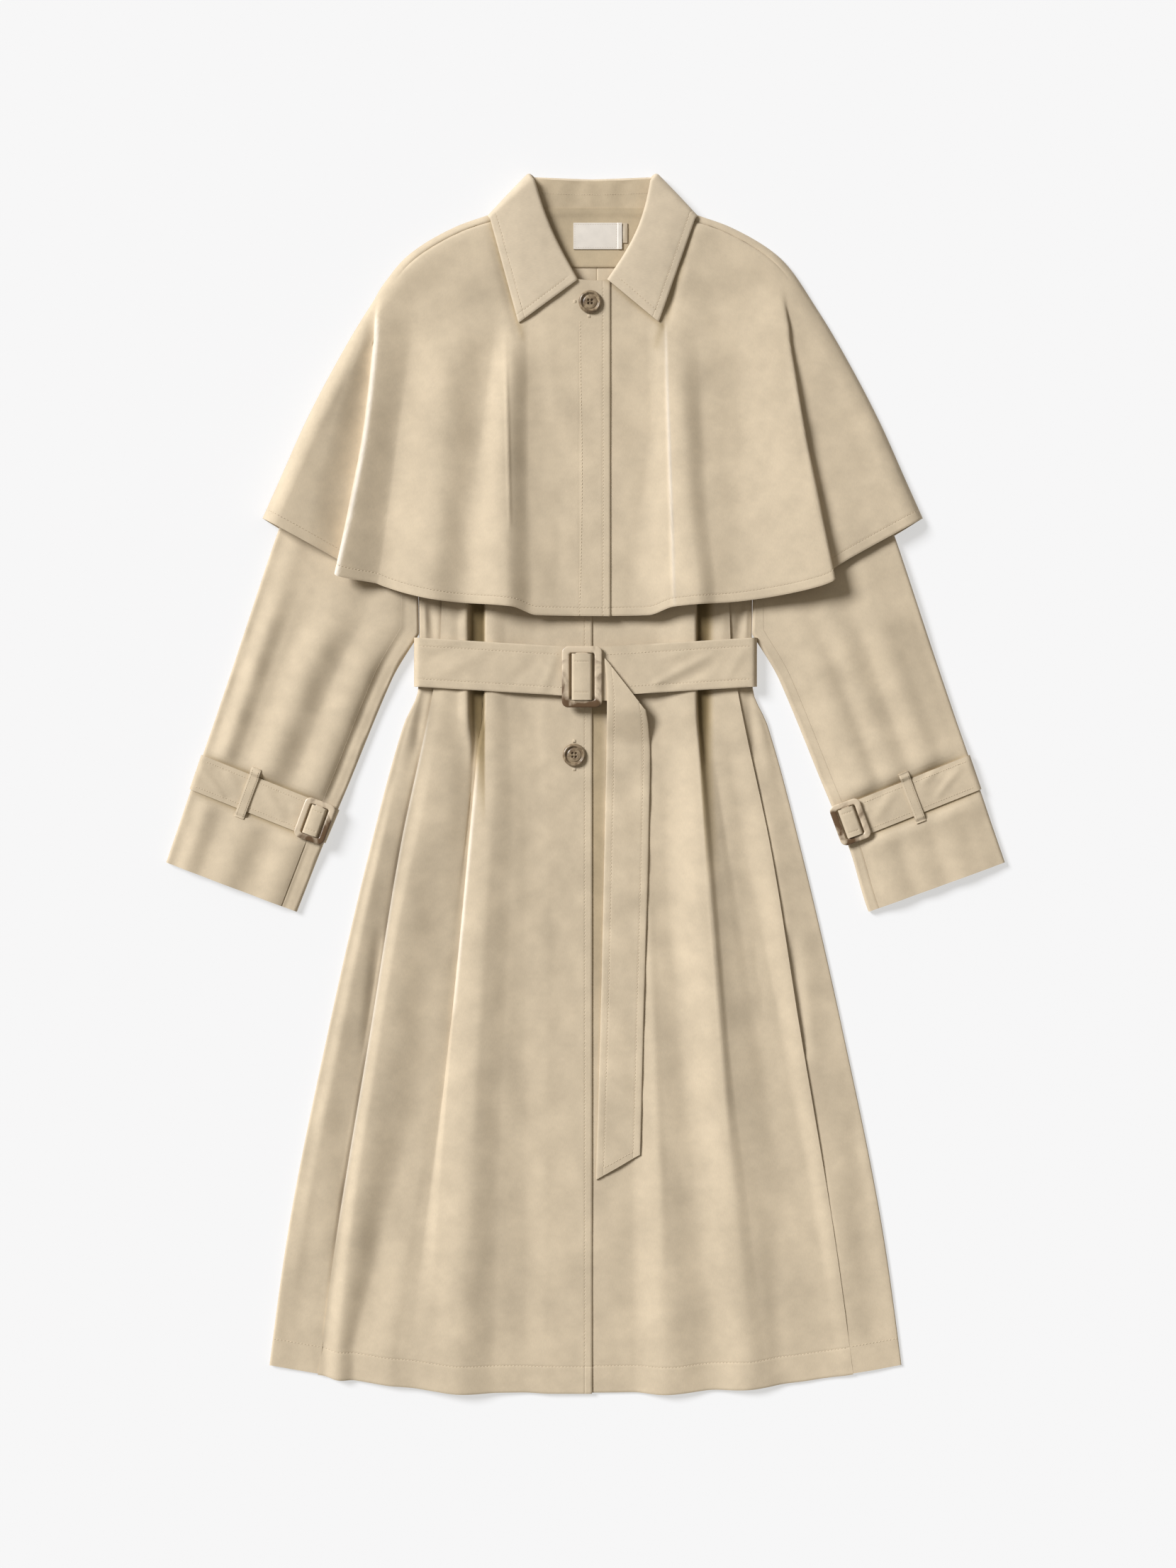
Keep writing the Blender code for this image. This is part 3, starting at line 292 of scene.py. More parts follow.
def cloth(solid, place, us, vs, look=OUTSIDE, thick=CLOTH, grow=1, ring=False,
          painted_shade_and_light=None):
    """Cloth piece for one solid: place(u, v) gives x, y, z for whole arrays; the wall grows to one side."""
    u, v = np.meshgrid(us, vs)
    points = np.stack(np.broadcast_arrays(*place(u, v)), axis=-1)
    tone = None if painted_shade_and_light is None else painted_shade_and_light(points[..., 0], points[..., 1])
    mesh, width, length = grid_mesh(solid + "_cloth", points, ring, tone)
    piece = dress(mesh.name, mesh, look, [solid])
    wall = piece.modifiers.new("wall", "SOLIDIFY")
    wall.thickness, wall.offset = thick, grow
    print(f"{piece.name}: {len(mesh.polygons)} quads, cut {1000 * width:.0f} x {1000 * length:.0f} mm")
    return piece


MARKS, NEAR = 2000, np.array([-1.0, -0.6, -0.35, -0.15, 0.0, 0.15, 0.35, 0.6, 1.0])


def stops(count, *dense):
    """Even stops from 0 to 1, with more of them close to each (place, reach), all on marks of 1/2000."""
    extra = [place + reach * NEAR for place, reach in dense]
    joined = np.clip(np.concatenate([np.linspace(0, 1, count), *extra]), 0.0, 1.0)
    return np.unique(np.round(MARKS * joined)) / MARKS


def zone_stops(*counts):
    """Even stops through the zones 0-1, 1-2 and so on, so many in each, with each shared stop once."""
    return np.concatenate([k + np.linspace(0, 1, count)[min(k, 1):] for k, count in enumerate(counts)])


def border(u, width, rim, share):
    """Distance from an edge in metres: the first share of u covers the rim, the rest covers what is left."""
    return np.where(u < share, rim * u / share, rim + (width - rim) * (u - share) / (1 - share))


print("stops near one half:", np.round(stops(3, (0.5, 0.1)), 3))

# %% [markdown]
# ## Folds, creases and sewn lines as height
# On laid cloth a fold is a soft ridge with one steep side. The runs of its crest and of the troughs beside it
# are measured at a few heights, and the cloth goes from one to the next. A crest may lean over its trough.
# Short creases are single strokes, each with its own length and depth, and a topstitched line pulls the cloth
# down a little.

# %% Relief for laid cloth
Line = namedtuple("Line", "x rise lean", defaults=[None])
Crease = namedtuple("Crease", "x0 y0 x1 y1 reach rise")
MM = 0.001


def laid_folds(heights, lines, x, y):
    """Sideways shift and rise. Each line is the run of a crest, a trough or a point on a slope at the given
    heights, in millimetres. Across the lines goes a cubic that is level at crests and troughs and never
    overshoots."""
    def track(name):
        rows = [getattr(line, name) or (0.0,) * len(heights) for line in lines]
        return np.stack([MM * through(heights[::-1], row[::-1], y) for row in rows])

    def pick(rows, row):
        return np.take_along_axis(rows, row, 0)[0]
    at = track("x")
    step = np.maximum(np.diff(at, axis=0), 1e-6)
    i = np.clip((x[None] > at).sum(axis=0) - 1, 0, len(lines) - 2)[None]
    run = pick(step, i)
    t = np.clip((x - pick(at, i)) / run, 0.0, 1.0)

    def across(values):
        slope = np.diff(values, axis=0) / step
        level = 0 * slope[:1]
        tangent = np.concatenate([level, calm(slope), level])
        return cubic(t, run, pick(values, i), pick(values, i + 1), pick(tangent, i), pick(tangent, i + 1))
    return across(track("lean")), across(track("rise"))


def crease_relief(creases, x, y):
    """Each crease is a bell across a straight stroke that fades towards its two ends."""
    rise = np.zeros_like(x)
    for c in creases:
        dx, dy = c.x1 - c.x0, c.y1 - c.y0
        length2 = dx * dx + dy * dy
        t = np.clip(((x - c.x0) * dx + (y - c.y0) * dy) / length2, 0.0, 1.0)
        off2 = (x - c.x0 - t * dx) ** 2 + (y - c.y0 - t * dy) ** 2
        rise = rise + c.rise * np.exp(-off2 / c.reach**2) * np.sqrt(np.clip(4 * t * (1 - t), 0.0, 1.0))
    return rise


RUMPLE_WAVES = ((118, 31, 0.0), (-73, 96, 1.3), (41, -147, 2.1), (171, 88, 4.0), (-160, -52, 5.2),
                (60, 203, 0.7))


def rumple(x, y, height=0.00022):
    """The slight unevenness of pressed cotton: a few sine waves of unlike length and direction."""
    return height * sum(np.sin(a * x + b * y + c) for a, b, c in RUMPLE_WAVES) / 2.0


def sewn(distance, line, depth=0.00020, reach=0.0008):
    """A line of topstitching pulls the cloth down in a narrow bell."""
    return -depth * np.exp(-(((distance - line) / reach) ** 2))


def turned_edge(distance, drop=0.0005, reach=0.0016):
    """A turned edge is round: the cloth drops over its last part."""
    return -drop * ease(1.0 - distance / reach) ** 2


trial_lines = (Line((0, 0), (0, 0)), Line((10, 10), (4, 4)))
trial = laid_folds((1.0, 0.0), trial_lines, np.array([0.005]), np.array([0.5]))
print("half way up a 4 mm fold, in mm:", round(1000 * float(trial[1][0]), 2))

# %% [markdown]
# ## Stitches
# Topstitching runs along every edge of a trench coat, in a thread close to the cloth's own colour. One stitch
# is a tiny spindle that sinks into the cloth at both ends. A bump map could draw them, but real spindles
# catch the light properly and cost only two dozen triangles each.

# %% Stitches on a surface
STITCH_LENGTH, STITCH_PITCH, STITCH_RADIUS = 0.0025, 0.0034, 0.00026
SPINDLE_SIDES, RING_SHARE, TIP_SINK = 6, 0.28, 0.8


def on_top(place, u, v, lift):
    """Points of a surface moved out along its upward normal, which comes from central differences."""
    step = 1e-4
    here = np.stack(np.broadcast_arrays(*place(u, v)), axis=-1)
    du = np.stack(np.broadcast_arrays(*place(u + step, v)), axis=-1) - here
    dv = np.stack(np.broadcast_arrays(*place(u, v + step)), axis=-1) - here
    normal = np.cross(du, dv)
    normal *= np.sign(normal[..., 2:] + 1e-12) / np.linalg.norm(normal, axis=-1, keepdims=True)
    return here + lift * normal


def spindles(points, length=STITCH_LENGTH, pitch=STITCH_PITCH, radius=STITCH_RADIUS):
    """Vertices and faces of stitches at even distances on a polyline: two rings and two sunk tips each."""
    run = walked(points)
    at = np.arange(pitch / 2, run[-1], pitch)

    def reached(distance):
        return np.stack([np.interp(distance, run, points[:, k]) for k in range(3)], axis=1)
    middle, ends = reached(at), [reached(at + s * length / 2) for s in (-1, 1)]
    axis = ends[1] - ends[0]
    axis /= np.linalg.norm(axis, axis=1, keepdims=True) + 1e-12
    side = np.cross(axis, [0.0, 0.0, 1.0])
    side /= np.linalg.norm(side, axis=1, keepdims=True) + 1e-12
    up = np.cross(side, axis)
    angle = np.arange(SPINDLE_SIDES) * 2 * np.pi / SPINDLE_SIDES
    around = radius * (np.cos(angle)[:, None] * side[:, None] + np.sin(angle)[:, None] * up[:, None])
    rings = [middle[:, None] + s * RING_SHARE * length * axis[:, None] + around for s in (-1, 1)]
    tips = [end[:, None] - TIP_SINK * radius * up[:, None] for end in ends]
    verts = np.concatenate([tips[0], rings[0], rings[1], tips[1]], axis=1)
    k, n = np.arange(SPINDLE_SIDES), SPINDLE_SIDES
    nxt = (k + 1) % n
    faces = np.concatenate([np.stack([0 * k, 1 + nxt, 1 + k], 1), np.stack([1 + k, 1 + nxt, 1 + n + k], 1),
                            np.stack([1 + nxt, 1 + n + nxt, 1 + n + k], 1),
                            np.stack([1 + n + k, 1 + n + nxt, 1 + 2 * n + 0 * k], 1)])
    count = verts.shape[1]
    return verts.reshape(-1, 3), (faces[None] + count * np.arange(len(middle))[:, None, None]).reshape(-1, 3)


def sew(name, lines, look=THREAD, **size):
    """One object with the stitches of several lines."""
    made = [spindles(points, **size) for points in lines]
    starts = np.cumsum([0] + [len(verts) for verts, _ in made])
    mesh = bpy.data.meshes.new(name)
    mesh.from_pydata(np.concatenate([verts for verts, _ in made]), [],
                     np.concatenate([faces + start for (_, faces), start in zip(made, starts)]))
    mesh.uv_layers.new(name="cloth")
    mesh.shade_smooth()
    piece = dress(name, mesh, look, [])
    print(f"{name}: {len(mesh.polygons) // (4 * SPINDLE_SIDES)} stitches")
    return piece


THREAD_LIFT, LOW_LIFT, LINE_POINTS = 0.00012, 0.0001, 900
STITCH_LIFT = CLOTH + THREAD_LIFT


def stitch_line(place, u, v, lift=STITCH_LIFT):
    """A fine polyline on top of a surface; u and v are each one value, or a first and a last one."""
    us, vs = (np.linspace(*np.broadcast_to(ends, 2), LINE_POINTS) for ends in (u, v))
    return on_top(place, us, vs, lift)


print("one stitch every", 1000 * STITCH_PITCH, "mm")

# %% [markdown]
# ## The back of the coat
# The back is wider than the fronts: it wraps forward round both sides, up to the seams that show on the
# front. Across the cloth, u runs 0 to 5: strip, fold, flat back, fold, strip. The flat part is the face that
# rests on the table, so it stays plain, and the strips get the small gathers that the belt makes.

# %% Sizes of the coat's body
SEAM, EASE = 0.0003, 0.0004
UNDER_LIFT, NECK_LIFT = 0.0020, 0.0020
FRONT_OVER_BACK, FRONT_OVERLAP = 0.0022, 0.0018
SIDE_FOLD, SEAM_TUCK, HEM_TUCK, NECK_X = 0.0026, 0.003, 0.0010, 0.007
NECK_RAMP, BELT_RAMP = Ramp(0.485, 0.040), Ramp(0.035, 0.045)
BACK_LEAD, CAPE_LEAD = 0.010, 0.012
HEM_MIDDLE, HEM_SIDE, HEM_HALF, HEM_POWER, BACK_SHORTER = -0.6005, -0.5745, 0.315, 2.2, 0.004
Girth = namedtuple("Girth", "y edge seam")
BODY = (
    Girth(y=0.600, edge=0.158, seam=0.151),
    Girth(y=0.280, edge=0.164, seam=0.156),
    Girth(y=0.190, edge=0.165, seam=0.142),
    Girth(y=0.146, edge=0.1645, seam=0.143),
    Girth(y=0.096, edge=0.1655, seam=0.150),
    Girth(y=0.060, edge=0.180, seam=0.157),
    Girth(y=-0.062, edge=0.213, seam=0.183),
    Girth(y=-0.235, edge=0.253, seam=0.211),
    Girth(y=-0.445, edge=0.295, seam=0.246),
    Girth(y=-0.620, edge=0.319, seam=0.270),
)
Mark = namedtuple("Mark", "out y")
FRONT_TOP = (
    Mark(out=-0.040, y=0.495),
    Mark(out=0.018, y=0.496),
    Mark(out=0.040, y=0.505),
    Mark(out=0.060, y=0.540),
    Mark(out=0.072, y=0.560),
    Mark(out=0.100, y=0.544),
    Mark(out=0.150, y=0.520),
    Mark(out=0.175, y=0.508),
)
BACK_TOP = (
    Mark(out=0.000, y=0.569),
    Mark(out=0.066, y=0.566),
    Mark(out=0.100, y=0.544),
    Mark(out=0.150, y=0.520),
    Mark(out=0.175, y=0.508),
)


def neck_lift(y):
    return NECK_LIFT * climb(NECK_RAMP, y)


def back_lift(y):
    """Height of the back: flat on the table in the skirt, over the belt above it."""
    return UNDER_LIFT * climb(BELT_RAMP, y) + neck_lift(y + BACK_LEAD)


def hem_y(x):
    """Lower edge of the coat: a shallow arc, a power of the distance from the middle."""
    return HEM_MIDDLE + (HEM_SIDE - HEM_MIDDLE) * (np.abs(x) / HEM_HALF) ** HEM_POWER


print("waist, edge to edge in mm:", round(2000 * float(at_height(BODY, "edge", 0.11))))

# %% The coat's back
CENTRE_SEAM_X, CENTRE_SEAM_DEPTH, UPPER_BACK_WIDTH = 0.0112, 0.0005, 0.320
RIGHT_FOLD, HEM_SINK, STRIP_FADE = 0.0015, 0.0007, 0.2
LEFT_SWELL, LEFT_RISE, LEFT_SINK, LEFT_SINK_POWER = 0.0042, 0.28, 0.0024, 2.2
RIGHT_SWELL, RIGHT_RISE, RIGHT_FALL, RIGHT_FALL_RAMP = 0.0026, 0.75, 0.2, Ramp(0.7, 0.3)
SEAM_DIP, SEAM_DIP_REACH = {LEFT: 0.0008, RIGHT: 0.0003}, 0.0024
STRIP_RAMP, RIGHT_SINK_RAMP, HEM_SINK_RAMP = Ramp(0.03, -0.12), Ramp(-0.22, -0.18), Ramp(-0.40, -0.14)
SIDE_CREASES = (
    Crease(x0=0.155, y0=0.190, x1=0.150, y1=0.140, reach=0.0045, rise=-0.0022),
    Crease(x0=0.160, y0=0.185, x1=0.159, y1=0.140, reach=0.0035, rise=0.0014),
    Crease(x0=0.160, y0=0.094, x1=0.168, y1=0.030, reach=0.005, rise=-0.0020),
    Crease(x0=0.169, y0=0.086, x1=0.184, y1=0.000, reach=0.006, rise=0.0010),
    Crease(x0=0.190, y0=-0.030, x1=0.214, y1=-0.190, reach=0.011, rise=-0.0012),
    Crease(x0=0.203, y0=-0.140, x1=0.2185, y1=-0.270, reach=0.0060, rise=-0.0024),
    Crease(x0=0.224, y0=-0.200, x1=0.249, y1=-0.395, reach=0.014, rise=-0.0016),
    Crease(x0=0.262, y0=-0.330, x1=0.287, y1=-0.560, reach=0.014, rise=-0.0018),
)


def coat_back_at(u, v):
    """Flat back with a half circle at each side and a strip over each. The groove of the centre seam is cut
    from inside above the belt, where the inside shows, and from outside in the skirt."""
    zone = np.clip(np.floor(u), 0, 4)
    t = u - zone
    across = np.select([zone <= 1, zone == 2], [-1.0 + 0 * t, 2 * t - 1], 1.0)
    to_seam = np.select([zone == 0, zone == 4], [1 - t, t], 0.0)
    foot = BODY[-1]
    low = hem_y(across * (foot.edge - (foot.edge - foot.seam) * to_seam)) + BACK_SHORTER * (1 - across**6)
    high = through(column(BACK_TOP, "out"), column(BACK_TOP, "y"), np.abs(across * BODY[0].edge - NECK_X))
    y = low + v * (high - low)
    side = np.where(u < 2.5, LEFT, RIGHT)
    radius = np.where(side == LEFT, SIDE_FOLD, RIGHT_FOLD)
    full, hem = climb(STRIP_RAMP, y), climb(HEM_SINK_RAMP, y)
    edge, seam = at_height(BODY, "edge", y), at_height(BODY, "seam", y)
    flat, inner = edge - radius, seam - SEAM_TUCK + (SEAM_TUCK - HEM_TUCK) * hem
    turn = np.pi * t
    level = (edge - SIDE_FOLD) * (t - 1) + (edge - RIGHT_FOLD) * t
    x = np.select([zone == 2, (zone == 1) | (zone == 3)], [level, side * (flat + radius * np.sin(turn))],
                  side * (flat - (flat - inner) * to_seam))
    z = np.select([zone == 1, zone == 2, zone == 3],
                  [radius * (1 + np.cos(turn)), 0 * t, radius * (1 - np.cos(turn))], 2 * radius)
    left_sink = (LEFT_SINK + (HEM_SINK - LEFT_SINK) * hem + LEFT_SWELL * (1 - hem)) * full
    left = LEFT_SWELL * (1 - hem) * full * ease(to_seam / LEFT_RISE) - left_sink * to_seam**LEFT_SINK_POWER
    right_sink = HEM_SINK * climb(RIGHT_SINK_RAMP, y) - 2 * (SIDE_FOLD - RIGHT_FOLD)
    bulge = ease(to_seam / RIGHT_RISE) - RIGHT_FALL * climb(RIGHT_FALL_RAMP, to_seam)
    right = RIGHT_SWELL * (1 - hem) * full * bulge - right_sink * to_seam
    dip = np.where(side == LEFT, SEAM_DIP[LEFT], SEAM_DIP[RIGHT]) * (1 - hem)
    shape = np.where(side == LEFT, left, right) - dip * np.exp(-(((side * x - seam) / SEAM_DIP_REACH) ** 2))
    relief = crease_relief(SIDE_CREASES, np.abs(x), y) + rumple(x, y)
    held = np.where((relief > 0) | (side == LEFT), ease((1 - to_seam) / STRIP_FADE), 1.0)
    relief = relief * ease(to_seam / STRIP_FADE) * held
    groove = sewn(x, CENTRE_SEAM_X, CENTRE_SEAM_DEPTH) * (2 * climb(BELT_RAMP, y) - 1) * (zone == 2)
    return x, y, back_lift(y) + z + np.where((zone == 0) | (zone == 4), shape + relief, groove)


fold_stops = np.linspace(0, 1, 9)[1:]
strip_stops = np.concatenate([np.linspace(0, 0.78, 14), np.linspace(0.8, 1, 13)])
flat_stops = stops(25, (0.5 + CENTRE_SEAM_X / UPPER_BACK_WIDTH, 0.006))[1:]
BACK_ROUND = np.concatenate([1 - strip_stops[::-1], 1 + fold_stops, 2 + flat_stops, 3 + fold_stops,
                             4 + strip_stops[1:]])
cloth("coat_back", coat_back_at, BACK_ROUND, stops(125, (0.03, 0.01)))

# %% [markdown]
# ## The two fronts
# The fronts hang from the shoulders under the cape, are gathered into one deep pleat each at the waist, and
# fall into long folds in the skirt. The front on the left laps over the other. Each has a facing that is
# topstitched down its edge, and a wide hem. A pleat is a slot between two raised runs of cloth, so it is a
# trough with steep walls.

# %% Folds and sizes of the fronts
OVER_FRONT_EDGE, UNDER_FRONT_EDGE = 0.006, -0.028
FRONT_STITCH, FRONT_RIM, FRONT_RIM_SHARE = 0.0070, 0.014, 0.13
HEM_STITCH, HEM_RIM, HEM_RIM_SHARE = 0.0262, 0.034, 0.07
COAT_OVERLAP_RAMP, FRONT_FADE_RAMP = Ramp(-0.062, 0.026), Ramp(0.31, -0.08)
HEM_DIP, HEM_DIP_REACH = 0.45, 0.09
FRONT_HEIGHTS = (0.160, 0.0686, 0.0406, 0.0056, -0.134, -0.274, -0.414, -0.554)
FRONT_LEFT_LINES = (
    Line(x=(-142.7, -155.2, -159.7, -167, -195, -217.5, -239.5, -259.5),
         rise=(4.5, 5, 5.5, 6, 6.5, 6.5, 5, 1.2)),
    Line(x=(-133, -143, -148, -153, -183, -206, -227.5, -244),
         rise=(5, 6, 6.5, 8, 10.5, 11, 9.5, 6)),
    Line(x=(-127, -127, -120, -119, -138, -158, -191, -228),
         rise=(4.8, 4.6, 3.4, 3, 3.2, 3, 2.4, 2)),
    Line(x=(-118, -117, -114.5, -115, -131, -148, -170, -193),
         rise=(7, 7, 3.6, 2, 2, 1.9, 2.8, 4.6)),
    Line(x=(-112.8, -112, -110, -112.5, -126.5, -142, -161, -183),
         rise=(0.3, 0.3, 0.4, 0.9, 1, 1.2, 2.2, 4)),
    Line(x=(-101, -101.5, -106.3, -109.6, -122.6, -137.4, -156, -175),
         rise=(0.3, 0.3, 0.4, 0.5, 0.4, 0.7, 2, 3.8)),
    Line(x=(-97.8, -98.2, -103.6, -107.2, -120.2, -133.8, -144, -152),
         rise=(6.5, 6.5, 5.6, 4.6, 4.4, 5, 5.8, 6)),
    Line(x=(-93, -92, -92, -91, -101, -109, -116, -127), rise=(7, 7, 7.2, 7.4, 8.8, 10, 10.4, 9.4)),
    Line(x=(-78, -75.5, -73, -71, -74, -80, -85, -88), rise=(4, 4, 4, 4, 4.4, 4.6, 4.2, 3.2)),
    Line(x=(-46, -46, -45, -43, -25, -25, -32, -36), rise=(1, 1, 1, 0.6, 0.3, 0.3, 0.3, 0.3)),
)
FRONT_RIGHT_LINES = (
    Line(x=(45, 45, 45, 45, 45, 45, 45, 47), rise=(1, 1, 1, 0.6, 0.3, 0.3, 0.3, 0.3)),
    Line(x=(55, 55, 57.5, 59, 64.5, 70, 75, 82.5), rise=(1, 1.2, 1.2, 1, 1.2, 3, 5.5, 6.5)),
    Line(x=(69, 69, 71, 74, 82, 94, 109, 125), rise=(1.2, 1.2, 1.2, 1, 0.6, 0.6, 2, 1.5)),
    Line(x=(108, 108.5, 110.5, 113, 122.5, 133, 147, 162), rise=(7, 7, 7.6, 9, 12, 11.5, 9, 6)),
    Line(x=(111, 112, 115.5, 119, 131.5, 144, 161, 178), rise=(0.3, 0.3, 0.8, 5.5, 8, 7.5, 6, 4.2)),
    Line(x=(122, 121, 121, 126, 143, 160, 180, 197), rise=(0.5, 0.5, 0.8, 3, 4.2, 4, 3, 1.8)),
    Line(x=(129, 128, 128, 131.5, 154, 176, 200, 218), rise=(2.2, 2, 1.2, 1.5, 1.4, 1.2, 1, 0.8)),
    Line(x=(137, 138, 140, 144, 171, 197, 224, 245), rise=(4, 2.6, 1.6, 0.8, 0.5, 0.4, 0.5, 0.5)),
    Line(x=(142.7, 155.2, 159.7, 167, 195, 217.5, 239.5, 259.5),
         rise=(3.5, 3.5, 3.6, 3.9, 5.5, 5.2, 3.4, 1.3)),
)
FRONT_LEFT_CREASES = (
    Crease(x0=-0.0900, y0=0.020, x1=-0.1120, y1=-0.360, reach=0.0050, rise=0.0003),
    Crease(x0=-0.060, y0=0.078, x1=-0.052, y1=-0.020, reach=0.010, rise=0.0006),
    Crease(x0=-0.128, y0=0.070, x1=-0.140, y1=-0.110, reach=0.012, rise=0.0008),
    Crease(x0=-0.072, y0=-0.120, x1=-0.062, y1=-0.330, reach=0.014, rise=-0.0008),
    Crease(x0=-0.150, y0=-0.060, x1=-0.172, y1=-0.300, reach=0.016, rise=-0.0012),
    Crease(x0=-0.200, y0=-0.380, x1=-0.214, y1=-0.560, reach=0.012, rise=-0.0010),
    Crease(x0=-0.118, y0=0.172, x1=-0.122, y1=0.150, reach=0.007, rise=0.0006),
)
FRONT_RIGHT_CREASES = (
    Crease(x0=0.1110, y0=0.060, x1=0.1420, y1=-0.350, reach=0.0035, rise=0.0008),
    Crease(x0=0.0590, y0=-0.050, x1=0.0780, y1=-0.480, reach=0.0045, rise=0.0007),
    Crease(x0=0.072, y0=0.070, x1=0.080, y1=-0.080, reach=0.012, rise=0.0007),
    Crease(x0=0.134, y0=0.060, x1=0.150, y1=-0.120, reach=0.011, rise=0.0008),
    Crease(x0=0.110, y0=-0.160, x1=0.128, y1=-0.420, reach=0.018, rise=-0.0010),
    Crease(x0=0.168, y0=-0.140, x1=0.188, y1=-0.330, reach=0.013, rise=-0.0010),
    Crease(x0=0.186, y0=-0.420, x1=0.192, y1=-0.580, reach=0.011, rise=-0.0010),
    Crease(x0=0.020, y0=-0.430, x1=0.024, y1=-0.570, reach=0.016, rise=0.0006),
)
print("fold lines:", len(FRONT_LEFT_LINES) + len(FRONT_RIGHT_LINES), "creases:",
      len(FRONT_LEFT_CREASES) + len(FRONT_RIGHT_CREASES))

# %% The fronts as height over the back
def front_height(side, x, y):
    """Sideways shift of the folds, and the underside: the back's height, the folds with the pleat and the
    proud edge at the side seam, small creases, and the lap over the other front."""
    left = side == LEFT
    shift, rise = laid_folds(FRONT_HEIGHTS, FRONT_LEFT_LINES if left else FRONT_RIGHT_LINES, x, y)
    fade = climb(FRONT_FADE_RAMP, y)
    small = crease_relief(FRONT_LEFT_CREASES if left else FRONT_RIGHT_CREASES, x, y) + rumple(x, y)
    rise = np.maximum(fade * (rise + small), 0.0)
    lap = FRONT_OVERLAP * climb(COAT_OVERLAP_RAMP, x) if left else 0.0
    return fade * shift, back_lift(y) + FRONT_OVER_BACK + rise + lap


Slot = namedtuple("Slot", "y left right shade")
PLEATS = {
    LEFT: (
        Slot(y=0.200, left=-121.0, right=-97.8, shade=0.72),
        Slot(y=0.085, left=-120.0, right=-97.8, shade=0.72),
        Slot(y=0.040, left=-115.0, right=-98.5, shade=0.55),
        Slot(y=-0.040, left=-107.0, right=-98.0, shade=0.0),
    ),
    RIGHT: (
        Slot(y=0.200, left=108.0, right=130.0, shade=0.72),
        Slot(y=0.085, left=108.5, right=129.0, shade=0.72),
        Slot(y=0.040, left=111.0, right=129.0, shade=0.55),
        Slot(y=-0.100, left=119.5, right=136.0, shade=0.0),
    ),
}
# Painted shade in the pleats and beside the belt's tail, and painted highlights along the left front's crest and
# seam.
SOFT_EDGE, SHARP_EDGE = 0.012, 0.0020
TAIL_SHADE, EDGE_HIGHLIGHT, EDGE_REACH = 0.26, 0.38, 0.0016
TAIL_STRIP_X, TAIL_STRIP_Y = (Ramp(0.004, 0.003), Ramp(0.024, -0.010)), (Ramp(0.10, -0.02), Ramp(-0.36, 0.30))
EDGE_SPAN = (Ramp(0.08, -0.04), Ramp(-0.48, 0.10))
CREST_HIGHLIGHT = Crease(x0=-0.1052, y0=0.030, x1=-0.1300, y1=-0.230, reach=0.0015, rise=0.34)


def window(ramps, at):
    """Product of smooth steps: 1 between a ramp up and a ramp down, and 0 outside them."""
    return math.prod(climb(ramp, at) for ramp in ramps)


def front_shade_and_highlight(side, x, y):
    """Painted shade inside the pleat, where the slot is not deep enough to fall dark: flat between a soft edge
    and a sharp one. A painted shadow darkens the strip beside the belt's tail, and a painted highlight pales the
    left front along its sharp crest and its seam."""
    slots = PLEATS[side]
    left, right = MM * at_height(slots, "left", y), MM * at_height(slots, "right", y)
    first, last = (SOFT_EDGE, SHARP_EDGE) if side == LEFT else (SHARP_EDGE, SOFT_EDGE)
    inside = at_height(slots, "shade", y) * ease((x - left) / first) * ease((right - x) / last)
    if side == RIGHT:
        return -TAIL_SHADE * window(TAIL_STRIP_X, x) * window(TAIL_STRIP_Y, y) - inside
    seam = (x + at_height(BODY, "seam", y)) / EDGE_REACH
    pale = EDGE_HIGHLIGHT * np.exp(-(seam**2)) * window(EDGE_SPAN, y)
    return pale + crease_relief((CREST_HIGHLIGHT,), x, y) - inside


def front_at(side):
    """u runs from the front edge to the side seam, v from the hem to the shoulder. Both start with a rim that
    is given in metres."""
    middle = OVER_FRONT_EDGE if side == LEFT else UNDER_FRONT_EDGE

    def outward(u, y):
        return border(u, at_height(BODY, "seam", y) - side * middle, FRONT_RIM, FRONT_RIM_SHARE)

    def place(u, v):
        low = hem_y(middle + side * outward(u, BODY[-1].y + 0 * u))
        top_out = side * (middle + side * outward(u, BODY[0].y + 0 * u) - NECK_X)
        high = through(column(FRONT_TOP, "out"), column(FRONT_TOP, "y"), top_out)
        up = border(v, high - low, HEM_RIM, HEM_RIM_SHARE)
        y = low + up
        d = outward(u, y)
        x = middle + side * d
        shift, z = front_height(side, x, y)
        dip = HEM_DIP * (z - back_lift(y) - FRONT_OVER_BACK) * ease(1.0 - up / HEM_DIP_REACH)
        z = z + sewn(d, FRONT_STITCH) + sewn(up, HEM_STITCH, 0.0003) + turned_edge(d) + turned_edge(up)
        return x + shift, y - dip, z
    return place


FRONT_EDGE_AT, FRONT_HEM_AT = FRONT_RIM_SHARE * FRONT_STITCH / FRONT_RIM, HEM_RIM_SHARE * HEM_STITCH / HEM_RIM
FRONT_SHARP = {LEFT: (0.652, 0.668, 0.684), RIGHT: (0.69, 0.72, 0.75)}
FRONT_SHARP_REACH = {LEFT: 0.012, RIGHT: 0.015}
FRONT_ROWS = stops(170, (FRONT_HEM_AT, 0.006), (0.0, 0.006))
for side, word in ((RIGHT, "right"), (LEFT, "left")):
    sharp = [(share, FRONT_SHARP_REACH[side]) for share in FRONT_SHARP[side]]
    columns = stops(140, (FRONT_EDGE_AT, 0.025), (0.0, 0.03), *sharp)
    cloth(f"coat_front_{word}", front_at(side), columns, FRONT_ROWS, grow=side,
          painted_shade_and_light=lambda x, y: front_shade_and_highlight(side, x, y))

